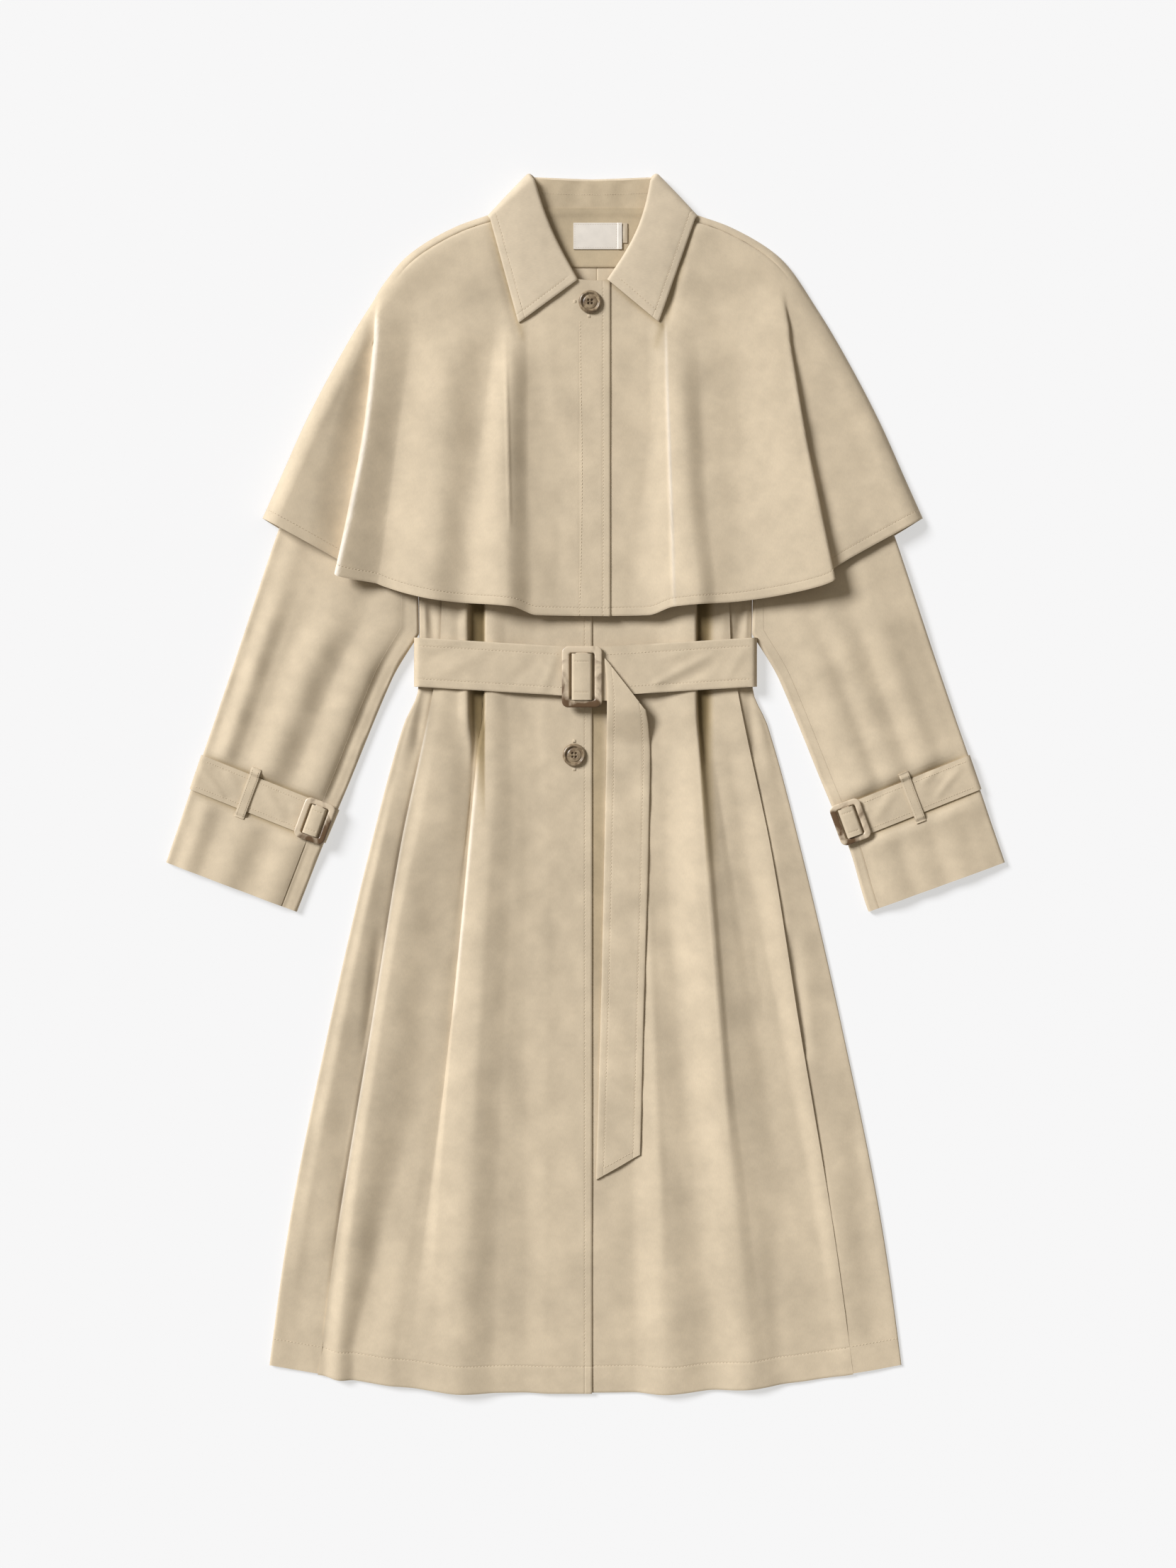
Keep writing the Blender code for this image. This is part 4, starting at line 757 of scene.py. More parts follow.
# %% Stitches of the coat
SEWN_UP, SEWN_OUT, STRIP_SEWN, STRIP_LENGTH = 0.72, 0.985, (0.05, 1.15), 1.09
lines = []
for side in (LEFT, RIGHT):
    front = front_at(side)
    lines.append(stitch_line(front, FRONT_EDGE_AT, (FRONT_HEM_AT, SEWN_UP)))
    lines.append(stitch_line(front, (FRONT_EDGE_AT, SEWN_OUT), FRONT_HEM_AT))
    strip = STRIP_SEWN if side == LEFT else np.subtract(5.0, STRIP_SEWN)
    lines.append(stitch_line(coat_back_at, strip, HEM_STITCH / STRIP_LENGTH, THREAD_LIFT))
sew("coat_stitches", lines)

# %% [markdown]
# ## The sleeves
# A coat sleeve is cut in two: a top sleeve that wraps round the outer edge, and a narrower under sleeve that
# comes round the inner edge to a seam that shows. Round the sleeve, u runs 0 to 4: top, outer fold,
# underside, inner fold. Soft flutes run down the top from the cape to the cuff strap and go on faintly below
# it.

# %% Sizes of the sleeves
SLEEVE_FOLD, SLEEVE_CLEAR, SLEEVE_RAMP = 0.0032, 0.0002, Ramp(0.12, 0.06)
SLEEVE_FRONT_SEAM, SLEEVE_BACK_SEAM = {LEFT: 0.10, RIGHT: 0.055}, 0.16
SEAM_SHARE, UNDER_TUCK, UNDER_STEP, UNDER_STEP_RAMP = 0.0003, 0.022, CLOTH + 0.0001, Ramp(-0.0004, 0.0030)
CUFF_FLARE, CUFF_FLARE_SHARE = {LEFT: 0.0, RIGHT: 0.0055}, 0.12
SEAM_GROOVE, SEAM_GROOVE_REACH, SEAM_GROOVE_END = {LEFT: 0.0009, RIGHT: 0.0004}, 0.008, 0.004
EDGE_VALLEY, EDGE_VALLEY_AT, EDGE_VALLEY_REACH = {LEFT: 0.0013, RIGHT: 0.0004}, 0.075, 0.028
STRAP_TOP, STRAP_FOOT, STRAP_LIFT_REACH, STRAP_LIFT_PAST = 0.177, 0.120, 0.05, 0.01
STRAP_PUFF, STRAP_SHADE, STRAP_SHADE_REACH = 0.024, -0.32, 0.0030
FLUTE_CAPE_RAMP, FLUTE_END_RAMP, FLUTE_CAPE_AT = Ramp(0.50, -0.12), Ramp(0.62, -0.12), 0.5
FLUTE_BELOW_RAMP, FLUTE_UNDER_CAPE, FLUTE_BELOW = Ramp(STRAP_FOOT - 0.001, -0.02), 0.35, 0.55
SLEEVE_CROWN, SLEEVE_SHOULDER, SLEEVE_RUMPLE = 0.0030, 0.15, 0.0003
Rib = namedtuple("Rib", "outer_x outer_y inner_x inner_y")
SLEEVE = (
    Rib(outer_x=0.1850, outer_y=0.494, inner_x=0.160, inner_y=0.470),
    Rib(outer_x=0.2150, outer_y=0.446, inner_x=0.160, inner_y=0.385),
    Rib(outer_x=0.2500, outer_y=0.384, inner_x=0.160, inner_y=0.300),
    Rib(outer_x=0.2760, outer_y=0.328, inner_x=0.160, inner_y=0.236),
    Rib(outer_x=0.3066, outer_y=0.244, inner_x=0.152, inner_y=0.184),
    Rib(outer_x=0.3346, outer_y=0.160, inner_x=0.1918, inner_y=0.104),
    Rib(outer_x=0.3724, outer_y=0.048, inner_x=0.2373, inner_y=-0.006),
    Rib(outer_x=0.3950, outer_y=-0.018, inner_x=0.2640, inner_y=-0.070),
    Rib(outer_x=0.4150, outer_y=-0.076, inner_x=0.2856, inner_y=-0.125),
)
Flute = namedtuple("Flute", "cuff cape inner outer rise")
LEFT_FLUTES = (
    Flute(cuff=0.20, cape=0.19, inner=0.15, outer=0.16, rise=0.0040),
    Flute(cuff=0.56, cape=0.50, inner=0.19, outer=0.20, rise=0.0060),
    Flute(cuff=0.86, cape=0.88, inner=0.12, outer=0.11, rise=0.0036),
)
RIGHT_FLUTES = (
    Flute(cuff=0.22, cape=0.28, inner=0.16, outer=0.14, rise=0.0030),
    Flute(cuff=0.46, cape=0.47, inner=0.14, outer=0.16, rise=0.0030),
    Flute(cuff=0.72, cape=0.74, inner=0.16, outer=0.16, rise=0.0036),
)
print("sleeve flat at the cuff in mm:", round(1000 * math.dist(SLEEVE[-1][:2], SLEEVE[-1][2:])))

# %% The sleeves
def tube(u, flat, round_x, round_z):
    """Section of a flat tube as x, z, zone and share of the zone: u 0 to 1 is the top from -flat to flat, 1 to
    2 half an ellipse at the right, 2 to 3 the underside and 3 to 4 half an ellipse at the left."""
    zone = np.floor(np.mod(u, 4.0))
    t = np.mod(u, 4.0) - zone
    zones, sine, cosine = [zone == 0, zone == 1, zone == 2], np.sin(np.pi * t), np.cos(np.pi * t)
    x = np.select(zones, [flat * (2 * t - 1), flat + round_x * sine, flat * (1 - 2 * t)],
                  -flat - round_x * sine)
    z = np.select(zones, [round_z + 0 * t, round_z * cosine, -round_z + 0 * t], -round_z * cosine)
    return x, z, zone, t


def sleeve_at(side, out_by=0.0, plain=False, under=False):
    """Outer face: a flat tube between the inner and the outer edge, with cosine flutes on its top."""
    def place(u, v):
        ox, oy, ix, iy = along(SLEEVE, ("outer_x", "outer_y", "inner_x", "inner_y"), 1.0 - v)
        ix = ix - CUFF_FLARE[side] * ease(1 - v / CUFF_FLARE_SHARE)
        ix = np.maximum(ix, at_height(BODY, "edge", iy) + SLEEVE_CLEAR)
        width = np.hypot(ox - ix, oy - iy)
        radius = SLEEVE_FOLD + out_by
        a, z, zone, t = tube(u, width / 2 - SLEEVE_FOLD, radius, radius)
        share = 0.5 + a / width
        x, y = ix + (ox - ix) * share, iy + (oy - iy) * share
        past = np.abs(v - (STRAP_TOP + STRAP_FOOT) / 2) - (STRAP_TOP - STRAP_FOOT) / 2
        near_strap = ease(1.0 - (past - STRAP_LIFT_PAST) / STRAP_LIFT_REACH)
        z = z + SLEEVE_FOLD + UNDER_LIFT * np.maximum(climb(SLEEVE_RAMP, oy), near_strap)
        if not plain:
            z = z + np.where(zone == 0, sleeve_relief(side, t, v, x, y), 0.0)
        if under:
            past = t - SLEEVE_FRONT_SEAM[side]
            groove = SEAM_GROOVE[side] * np.exp(-((past / SEAM_GROOVE_REACH) ** 2)) * (past < SEAM_GROOVE_END)
            step = UNDER_STEP * climb(UNDER_STEP_RAMP, past)
            z = z - np.where(zone == 0, step + groove * climb(FLUTE_BELOW_RAMP, v), 0.0)
        return side * x, y, z
    return place


def sleeve_relief(side, t, v, x, y):
    """Flutes that fade into the strap and under the cape, a low crown, and a little rumple away from the
    strap."""
    grow = (1 - np.clip(1 - (v - STRAP_TOP) / STRAP_PUFF, 0, 1) ** 2) * climb(FLUTE_END_RAMP, v)
    grow = grow * (FLUTE_UNDER_CAPE + (1 - FLUTE_UNDER_CAPE) * climb(FLUTE_CAPE_RAMP, v))
    grow = grow + FLUTE_BELOW * climb(FLUTE_BELOW_RAMP, v)
    rise = np.zeros_like(t)
    for flute in (LEFT_FLUTES if side == LEFT else RIGHT_FLUTES):
        off = t - (flute.cuff + (flute.cape - flute.cuff) * v / FLUTE_CAPE_AT)
        q = np.clip(np.abs(off) / np.where(off < 0, flute.inner, flute.outer), 0.0, 1.0)
        rise = rise + flute.rise * grow * (0.5 + 0.5 * np.cos(np.pi * q))
    crown = SLEEVE_CROWN * ease(t / SLEEVE_SHOULDER) * ease((1 - t) / SLEEVE_SHOULDER)
    crown = crown - EDGE_VALLEY[side] * np.exp(-(((t - EDGE_VALLEY_AT) / EDGE_VALLEY_REACH) ** 2))
    return rise + np.clip(grow, 0, 1) * (rumple(side * x, y, SLEEVE_RUMPLE) + crown)


def round_stops(side):
    """Stops round the top sleeve and round the under sleeve, which meet at the seam."""
    seam = SLEEVE_FRONT_SEAM[side]
    top = np.concatenate([np.linspace(seam + SEAM_SHARE, 1, 56), 1 + np.linspace(0, 1, 10)[1:],
                          2 + np.linspace(0, SLEEVE_BACK_SEAM, 7)[1:]])
    under = np.concatenate([np.linspace(2 + SLEEVE_BACK_SEAM + 8 * SEAM_SHARE, 3, 20),
                            3 + np.linspace(0, 1, 10)[1:], 4 + np.linspace(0, seam - 0.003, 14)[1:],
                            4 + seam + np.linspace(-0.0004, 0.0026, 6),
                            4 + seam + np.linspace(0.008, UNDER_TUCK, 4)])
    return top, under


def strap_shade(side):
    """Painted shade close above and below the strap, in the hollow where the cloth is pressed in: two straight
    strokes with soft sides."""
    strokes = []
    for v in (STRAP_TOP, STRAP_FOOT):
        (x0, x1), (y0, y1), _ = sleeve_at(side, plain=True)(np.array([-0.25, 1.25]), np.array([v, v]))
        strokes.append(Crease(x0=x0, y0=y0, x1=x1, y1=y1, reach=STRAP_SHADE_REACH, rise=STRAP_SHADE))
    return lambda x, y: crease_relief(strokes, x, y)


SLEEVE_ROWS = stops(150, (0.0, 0.006), (STRAP_TOP, 0.012), (STRAP_FOOT, 0.012))
for side, word in ((LEFT, "left"), (RIGHT, "right")):
    top, under = round_stops(side)
    cloth(f"sleeve_{word}_top", sleeve_at(side), top, SLEEVE_ROWS, grow=-side,
          painted_shade_and_light=strap_shade(side))
    cloth(f"sleeve_{word}_under", sleeve_at(side, under=True), under, SLEEVE_ROWS, grow=-side)

# %% [markdown]
# ## Cuff straps and their carriers
# A strap goes right round each sleeve and through a small buckle, and one carrier loop holds it up. The strap
# is the sleeve's own surface moved out by a little ease, so it can't cut into the cloth. The carrier steps
# over the strap.

# %% Straps, carriers and their stitches
STRAP_STITCHES, LOOP_STITCHES = (0.13, 0.87), (-0.66, 0.66)
STRAP_SWELL, STRAP_LEAST, STRAP_MOST, STRAP_MOVE = 0.0004, -0.0003, 0.0011, {LEFT: 0.0, RIGHT: 0.011}
LOOP_ACROSS, LOOP_HALF, LOOP_PAST = {LEFT: 0.62, RIGHT: 0.535}, 0.035, 0.0135
LOOP_STEP, LOOP_FOOT, LOOP_SPARE, LOOP_EDGE_DROP = 0.005, 0.003, 0.0008, 0.0004
STRAP_CREASES = (
    Crease(x0=0.382, y0=0.018, x1=0.356, y1=-0.012, reach=0.0035, rise=0.0010),
    Crease(x0=0.368, y0=0.018, x1=0.350, y1=-0.014, reach=0.0040, rise=-0.0010),
    Crease(x0=0.356, y0=0.014, x1=0.342, y1=0.000, reach=0.0030, rise=0.0008),
    Crease(x0=0.318, y0=-0.004, x1=0.296, y1=-0.034, reach=0.0045, rise=0.0009),
    Crease(x0=0.306, y0=-0.006, x1=0.290, y1=-0.024, reach=0.0030, rise=-0.0010),
    Crease(x0=0.300, y0=-0.018, x1=0.278, y1=-0.030, reach=0.0030, rise=0.0007),
)


def strap_at(side):
    """The sleeve's surface moved out, a little swollen and with a few short creases on top."""
    def place(u, v):
        share = (v - STRAP_FOOT) / (STRAP_TOP - STRAP_FOOT)
        x, y, z = sleeve_at(side, EASE, plain=True)(u, v)
        creases = crease_relief(STRAP_CREASES, np.abs(x) + STRAP_MOVE[side], y)
        relief = STRAP_SWELL * np.sin(np.pi * share) + np.clip(creases, STRAP_LEAST, STRAP_MOST)
        return x, y, z + np.where(np.mod(u, 4.0) <= 1.0, relief, 0.0)
    return place


def loop_at(side):
    """Carrier: a band along the sleeve that steps over the strap."""
    def place(u, v):
        share = STRAP_FOOT - LOOP_PAST + (STRAP_TOP - STRAP_FOOT + 2 * LOOP_PAST) * v
        x, y, z = sleeve_at(side)(LOOP_ACROSS[side] + LOOP_HALF * u, share)
        past = np.maximum(STRAP_FOOT - share, share - STRAP_TOP)
        over = ease((LOOP_PAST - LOOP_FOOT - past) / LOOP_STEP)
        return x, y, z + SEAM + (EASE + CLOTH + LOOP_SPARE) * over - LOOP_EDGE_DROP * np.abs(u) ** 6
    return place


STRAP_ROUND = zone_stops(60, 10, 12, 10)
strap_shares = stops(15, *((share, 0.05) for share in STRAP_STITCHES))
STRAP_ACROSS = STRAP_FOOT + (STRAP_TOP - STRAP_FOOT) * strap_shares
lines = []
for side, word in ((LEFT, "left"), (RIGHT, "right")):
    cloth(f"cuff_strap_{word}", strap_at(side), STRAP_ROUND, STRAP_ACROSS, grow=side, ring=True)
    cloth(f"cuff_loop_{word}", loop_at(side), np.linspace(-1, 1, 9), stops(40), grow=side)
    for share in STRAP_STITCHES:
        height = STRAP_FOOT + (STRAP_TOP - STRAP_FOOT) * share
        for ends in ((0.03, LOOP_ACROSS[side] - LOOP_HALF), (LOOP_ACROSS[side] + LOOP_HALF, 0.99)):
            lines.append(stitch_line(strap_at(side), ends, height))
sew("cuff_stitches", lines, length=0.0020, pitch=0.0028, radius=0.00024)
lines = [stitch_line(loop_at(side), edge, (0.04, 0.96)) for side in (LEFT, RIGHT) for edge in LOOP_STITCHES]
sew("loop_stitches", lines, length=0.0017, pitch=0.0023, radius=0.00016)

# %% [markdown]
# ## The cape
# The cape is two fronts and a back, joined over the shoulders. Its fronts fall from the neck in a half
# circle, so they have more cloth at the hem than at the neck, and the spare cloth stands in flutes. At each
# side a deep fold turns over the sleeve. A point is found between the neck line and the hem line, and then
# the folds lift it.

# %% Sizes of the cape
CAPE_BASE, CAPE_HEM_RISE, CAPE_ROLL = 0.0096, 0.0046, 0.018
CAPE_HEM_RAMP, CAPE_OVERLAP_RAMP = Ramp(0.34, -0.12), Ramp(-0.060, 0.030)
CAPE_BACK_DROP, CAPE_BACK_POWER, CAPE_BACK_NECK_SAG = 0.105, 1.3, 0.004
CAPE_STITCH, CAPE_RIM, CAPE_RIM_SHARE = 0.0070, 0.034, 0.17
CAPE_HEM_STITCH, CAPE_HEM_RIM, CAPE_HEM_SHARE, CAPE_LENGTH = 0.0078, 0.014, 0.10, 0.335
PLACKET_STITCH, PLACKET_DEPTH, PLACKET_RAMP = 0.0300, 0.00012, Ramp(0.456, -0.010)
SHOULDER_SEAM, SHOULDER_DEPTH, SHOULDER_REACH, SHOULDER_RAMP = 0.0075, 0.0012, 0.0013, Ramp(0.495, 0.03)
CAPE_LEAST, CAPE_NECK_LEAST, CAPE_NECK_RAMP = -0.0013, -0.0014, Ramp(0.43, 0.02)
CAPE_SIDE = (
    Mark(out=0.0785, y=0.5715),
    Mark(out=0.1057, y=0.5625),
    Mark(out=0.136, y=0.5515),
    Mark(out=0.185, y=0.521),
    Mark(out=0.222, y=0.470),
    Mark(out=0.255, y=0.414),
    Mark(out=0.284, y=0.358),
    Mark(out=0.309, y=0.302),
    Mark(out=0.326, y=0.264),
)
CAPE_NECK = (
    Mark(out=-0.017, y=0.4972),
    Mark(out=0.012, y=0.4992),
    Mark(out=0.038, y=0.505),
    Mark(out=0.057, y=0.540),
    Mark(out=0.0785, y=0.5715),
)
CAPE_HEM = (
    Mark(out=-0.017, y=0.167),
    Mark(out=0.055, y=0.168),
    Mark(out=0.080, y=0.176),
    Mark(out=0.150, y=0.182),
    Mark(out=0.205, y=0.196),
    Mark(out=0.255, y=0.225),
    Mark(out=0.326, y=0.264),
)
CAPE_HEIGHTS = (0.440, 0.356, 0.272, 0.200)
CAPE_FADE_RAMP, CAPE_SIDE_FADE, CAPE_SIDE_RAMP = Ramp(0.480, -0.065), 0.026, Ramp(0.13, 0.05)
CAPE_LEFT_LINES = (
    Line(x=(-227, -267, -300, -318), rise=(5, 12, 13, 13)),
    Line(x=(-221, -249, -271, -282), rise=(4, 9, 9.5, 9.5)),
    Line(x=(-209, -218.5, -232, -238), rise=(0.3, 0.3, 0.3, 0.3)),
    Line(x=(-196, -203, -212, -219), rise=(6, 10, 13, 15), lean=(-10, -12, -18, -27)),
    Line(x=(-171.5, -183, -194, -204), rise=(0.5, 1, 2.5, 4)),
    Line(x=(-132, -141, -143, -152), rise=(6, 9, 11, 14)),
    Line(x=(-92, -102, -114, -119), rise=(1, 4, 5.5, 8)),
    Line(x=(-73, -77.7, -79, -78), rise=(6, 12, 14, 16)),
    Line(x=(-56, -56, -55, -52), rise=(1.5, 4, 5, 6)),
    Line(x=(-40, -32, -22, -24), rise=(0.3, 0.3, 0.5, 1)),
)
CAPE_RIGHT_LINES = (
    Line(x=(60, 62, 52, 42), rise=(0.3, 0.3, 0.5, 1)),
    Line(x=(92.4, 96.6, 101, 110), rise=(6, 10, 12, 15)),
    Line(x=(113, 117, 121, 129), rise=(3, 5, 7, 9.5)),
    Line(x=(148, 151, 152, 152), rise=(1.5, 2, 4, 7)),
    Line(x=(187, 195, 207.5, 222), rise=(6, 11, 14, 16), lean=(12, 17, 20, 20)),
    Line(x=(201, 214, 232, 246), rise=(1.5, 3, 4, 4)),
    Line(x=(232, 276, 306, 322), rise=(0.3, 0.3, 0.3, 0.3)),
)
CAPE_CREASES = (
    Crease(x0=-0.0660, y0=0.4440, x1=-0.0985, y1=0.5700, reach=0.0042, rise=-0.0018),
    Crease(x0=0.0760, y0=0.4450, x1=0.1105, y1=0.5700, reach=0.0042, rise=-0.0014),
    Crease(x0=0.0795, y0=0.420, x1=0.0870, y1=0.170, reach=0.0016, rise=0.0010),
    Crease(x0=-0.0790, y0=0.445, x1=-0.0745, y1=0.250, reach=0.0017, rise=0.0009),
    Crease(x0=0.1870, y0=0.440, x1=0.2080, y1=0.260, reach=0.0035, rise=0.0007),
    Crease(x0=-0.120, y0=0.520, x1=-0.175, y1=0.470, reach=0.014, rise=-0.0008),
    Crease(x0=-0.060, y0=0.452, x1=-0.064, y1=0.380, reach=0.012, rise=0.0008),
    Crease(x0=-0.105, y0=0.440, x1=-0.112, y1=0.300, reach=0.014, rise=-0.0008),
    Crease(x0=-0.175, y0=0.400, x1=-0.178, y1=0.250, reach=0.012, rise=0.0010),
    Crease(x0=-0.262, y0=0.360, x1=-0.285, y1=0.290, reach=0.012, rise=-0.0010),
    Crease(x0=0.075, y0=0.455, x1=0.080, y1=0.400, reach=0.010, rise=0.0007),
    Crease(x0=0.112, y0=0.400, x1=0.118, y1=0.230, reach=0.012, rise=-0.0008),
    Crease(x0=0.150, y0=0.500, x1=0.176, y1=0.420, reach=0.014, rise=0.0008),
    Crease(x0=0.262, y0=0.370, x1=0.284, y1=0.300, reach=0.012, rise=-0.0008),
    Crease(x0=0.044, y0=0.440, x1=0.046, y1=0.300, reach=0.016, rise=-0.0006),
)
# Painted shade along the collar's leaves, and a painted highlight (the last, positive stroke) along the right
# crest.
CAPE_SHADES_AND_HIGHLIGHT = (
    Crease(x0=-0.0610, y0=0.4380, x1=-0.1010, y1=0.5860, reach=0.0030, rise=-0.34),
    Crease(x0=0.0690, y0=0.4300, x1=0.1130, y1=0.5860, reach=0.0040, rise=-0.26),
    Crease(x0=0.0150, y0=0.5040, x1=0.0800, y1=0.4500, reach=0.0026, rise=-0.24),
    Crease(x0=0.0785, y0=0.4700, x1=0.0882, y1=0.1650, reach=0.0015, rise=0.30),
)
# A painted highlight along the leaning crest of the left deep fold.
HIGHLIGHT_FOLD, HIGHLIGHT_RAMP = CAPE_LEFT_LINES[3], Ramp(0.475, -0.030)
HIGHLIGHT_TONE, HIGHLIGHT_REACH = 0.50, 0.0018
print("cape across in mm:", round(2000 * CAPE_SIDE[-1].out))

# %% The cape's back and fronts
def cape_back_at(u, v):
    """Rows from side to side that sag in a parabola, flat on the table."""
    out, y = along(CAPE_SIDE, ("out", "y"), 1.0 - v)
    across = 2 * u - 1
    y = y - (CAPE_BACK_DROP * (1 - v) ** CAPE_BACK_POWER + CAPE_BACK_NECK_SAG * v) * (1 - across**2)
    return NECK_X + across * out, y, neck_lift(y)


def cape_base(y):
    """Underside of the fronts, over the sleeves, the coat and the neck."""
    return CAPE_BASE + CAPE_HEM_RISE * climb(CAPE_HEM_RAMP, y) + neck_lift(y + CAPE_LEAD)


def length_of(table):
    return sum(math.dist(a, b) for a, b in zip(table, table[1:]))


def cape_front_at(side):
    """u runs from the front edge to the side, v from hem to neck: a point between both lines, pulled to the
    side line at u=1, lifted by folds and rolled down over the shoulder."""
    left = side == LEFT
    folds = CAPE_LEFT_LINES if left else CAPE_RIGHT_LINES
    neck_long, hem_long = length_of(CAPE_NECK), length_of(CAPE_HEM)

    def place(u, v):
        neck_share = border(u, neck_long, CAPE_RIM, CAPE_RIM_SHARE) / neck_long
        hem_share = border(u, hem_long, CAPE_RIM, CAPE_RIM_SHARE) / hem_long
        up = border(v, CAPE_LENGTH, CAPE_HEM_RIM, CAPE_HEM_SHARE)
        w = up / CAPE_LENGTH
        neck_out, neck_y = along(CAPE_NECK, ("out", "y"), neck_share)
        hem_out, hem_level = along(CAPE_HEM, ("out", "y"), hem_share)
        side_out, side_y = along(CAPE_SIDE, ("out", "y"), 1.0 - w)
        last_out = CAPE_NECK[-1].out * w**2 + CAPE_HEM[-1].out * (1 - w**2)
        last_y = CAPE_NECK[-1].y * w + CAPE_HEM[-1].y * (1 - w)
        out = neck_out * w**2 + hem_out * (1 - w**2) + hem_share * (side_out - last_out)
        y = neck_y * w + hem_level * (1 - w) + hem_share * (side_y - last_y)
        x = NECK_X + side * out
        fade = climb(CAPE_FADE_RAMP, y - CAPE_SIDE_FADE * climb(CAPE_SIDE_RAMP, np.abs(x)))
        shift, rise = (fade * part for part in laid_folds(CAPE_HEIGHTS, folds, x, y))
        lap = FRONT_OVERLAP * climb(CAPE_OVERLAP_RAMP, x) if left else 0.0
        relief = rise + crease_relief(CAPE_CREASES, x, y) + rumple(x, y)
        relief = np.maximum(relief, CAPE_LEAST + CAPE_NECK_LEAST * climb(CAPE_NECK_RAMP, y))
        edge = CLOTH + neck_lift(y) + SEAM
        inward = np.hypot(side_out - out, side_y - y)
        roll = np.clip(inward / CAPE_ROLL, 0.0, 1.0)
        z = edge + (cape_base(y) + lap + relief - edge) * np.sqrt(1.0 - (1.0 - roll) ** 2)
        z = z + sewn(inward, SHOULDER_SEAM, SHOULDER_DEPTH, SHOULDER_REACH) * climb(SHOULDER_RAMP, y)
        d = out - CAPE_NECK[0].out
        z = z + sewn(d, CAPE_STITCH) + sewn(up, CAPE_HEM_STITCH) + turned_edge(d) + turned_edge(up)
        z = z + (sewn(d, PLACKET_STITCH, PLACKET_DEPTH) * climb(PLACKET_RAMP, y) if left else 0.0)
        return x + shift, y, z
    return place


def cape_shade_and_highlight(side):
    """Painted shade close under the collar's leaves, and a painted highlight along a sharp crest: a stroke on
    the right, and on the left a bell across the leaning crest of the deep fold."""
    def tone(x, y):
        crest = MM * through(CAPE_HEIGHTS[::-1], np.add(HIGHLIGHT_FOLD.x, HIGHLIGHT_FOLD.lean)[::-1], y)
        pale = HIGHLIGHT_TONE * np.exp(-(((x - crest) / HIGHLIGHT_REACH) ** 2)) * climb(HIGHLIGHT_RAMP, y)
        return crease_relief(CAPE_SHADES_AND_HIGHLIGHT, x, y) + (side == LEFT) * pale
    return tone


CAPE_EDGE_AT, PLACKET_AT = (CAPE_RIM_SHARE * line / CAPE_RIM for line in (CAPE_STITCH, PLACKET_STITCH))
CAPE_HEM_AT = CAPE_HEM_SHARE * CAPE_HEM_STITCH / CAPE_HEM_RIM
edge_stops = [(share, 0.012) for share in (0.0, CAPE_EDGE_AT, PLACKET_AT)]
crest_stops = [(share, 0.016) for share in (0.34, 0.37, 0.40, 0.43)]
side_stops = [(share, 0.02) for share in (0.68, 0.72, 0.76, 0.80, 0.945)]
CAPE_COLUMNS = stops(150, *edge_stops, *crest_stops, *side_stops, (0.97, 0.015))
CAPE_ROWS = stops(108, (CAPE_HEM_AT, 0.016), (0.0, 0.016))
cloth("cape_back", cape_back_at, np.linspace(0, 1, 81), np.linspace(0, 1, 61))
for side, word in ((RIGHT, "right"), (LEFT, "left")):
    cloth(f"cape_front_{word}", cape_front_at(side), CAPE_COLUMNS, CAPE_ROWS, grow=side,
          painted_shade_and_light=cape_shade_and_highlight(side))

# %% Stitches of the cape
lines = [stitch_line(cape_front_at(side), (0.005, 0.990), CAPE_HEM_AT) for side in (LEFT, RIGHT)]
lines.append(stitch_line(cape_front_at(LEFT), CAPE_EDGE_AT, (0.0, 0.985)))
lines.append(stitch_line(cape_front_at(LEFT), PLACKET_AT, (0.0, 0.88)))
sew("cape_stitches", lines)

# %% [markdown]
# ## The collar
# The collar has a stand, which is the band inside the neck, and a fall, which rolls over it and lies on the
# cape as two pointed leaves. The fold line goes from the left point up to the shoulder, round the back of the
# neck and down to the right point, and u follows it. Across, v first goes round the small roll at the fold
# and then over the leaf.

# %% Sizes of the collar
COLLAR_CLOTH, COLLAR_FRONT_Z, COLLAR_ROLL, STAND_CLEAR = 0.0016, 0.0153, 0.0016, 0.0006
LEAF_FRONT_END = Mark(out=0.0145, y=0.4995)
LEAF_TIPS = {LEFT: Mark(out=0.0728, y=0.4572), RIGHT: Mark(out=0.0650, y=0.4582)}
FOLD_CORNER, LEAF_CORNER = Mark(out=0.0572, y=0.5973), Mark(out=0.1005, y=0.5590)
BACK_FOLD_Y, BACK_LEAF_Y, BACK_RISE, CORNER_TUCK = 0.5998, 0.538, 0.0042, 0.4
STAND_FRONT_END, STAND_SHOULDER, STAND_BACK, STAND_NEAR = 0.0065, 0.0280, 0.0333, 0.0025
STAND_TOP_Z, STAND_FOOT_Z, STAND_CORNER = 0.0054, 0.0052, 0.014
STAND_NEAR_RAMP, STAND_FLAT_RAMP, STAND_SOFT = Ramp(0.5, 0.4), Ramp(0.7, 0.3), 0.0009
COLLAR_STITCH, LEAF_LENGTH, LEAF_SWELL, LEAF_SWELL_REACH = 0.0072, 0.106, 0.0008, 0.02
TIP_DROP, CORNER_DROP, DROP_POWER, FOLD_BOW = 0.0026, 0.0018, 1.4, {LEFT: 0.0042, RIGHT: 0.0078}


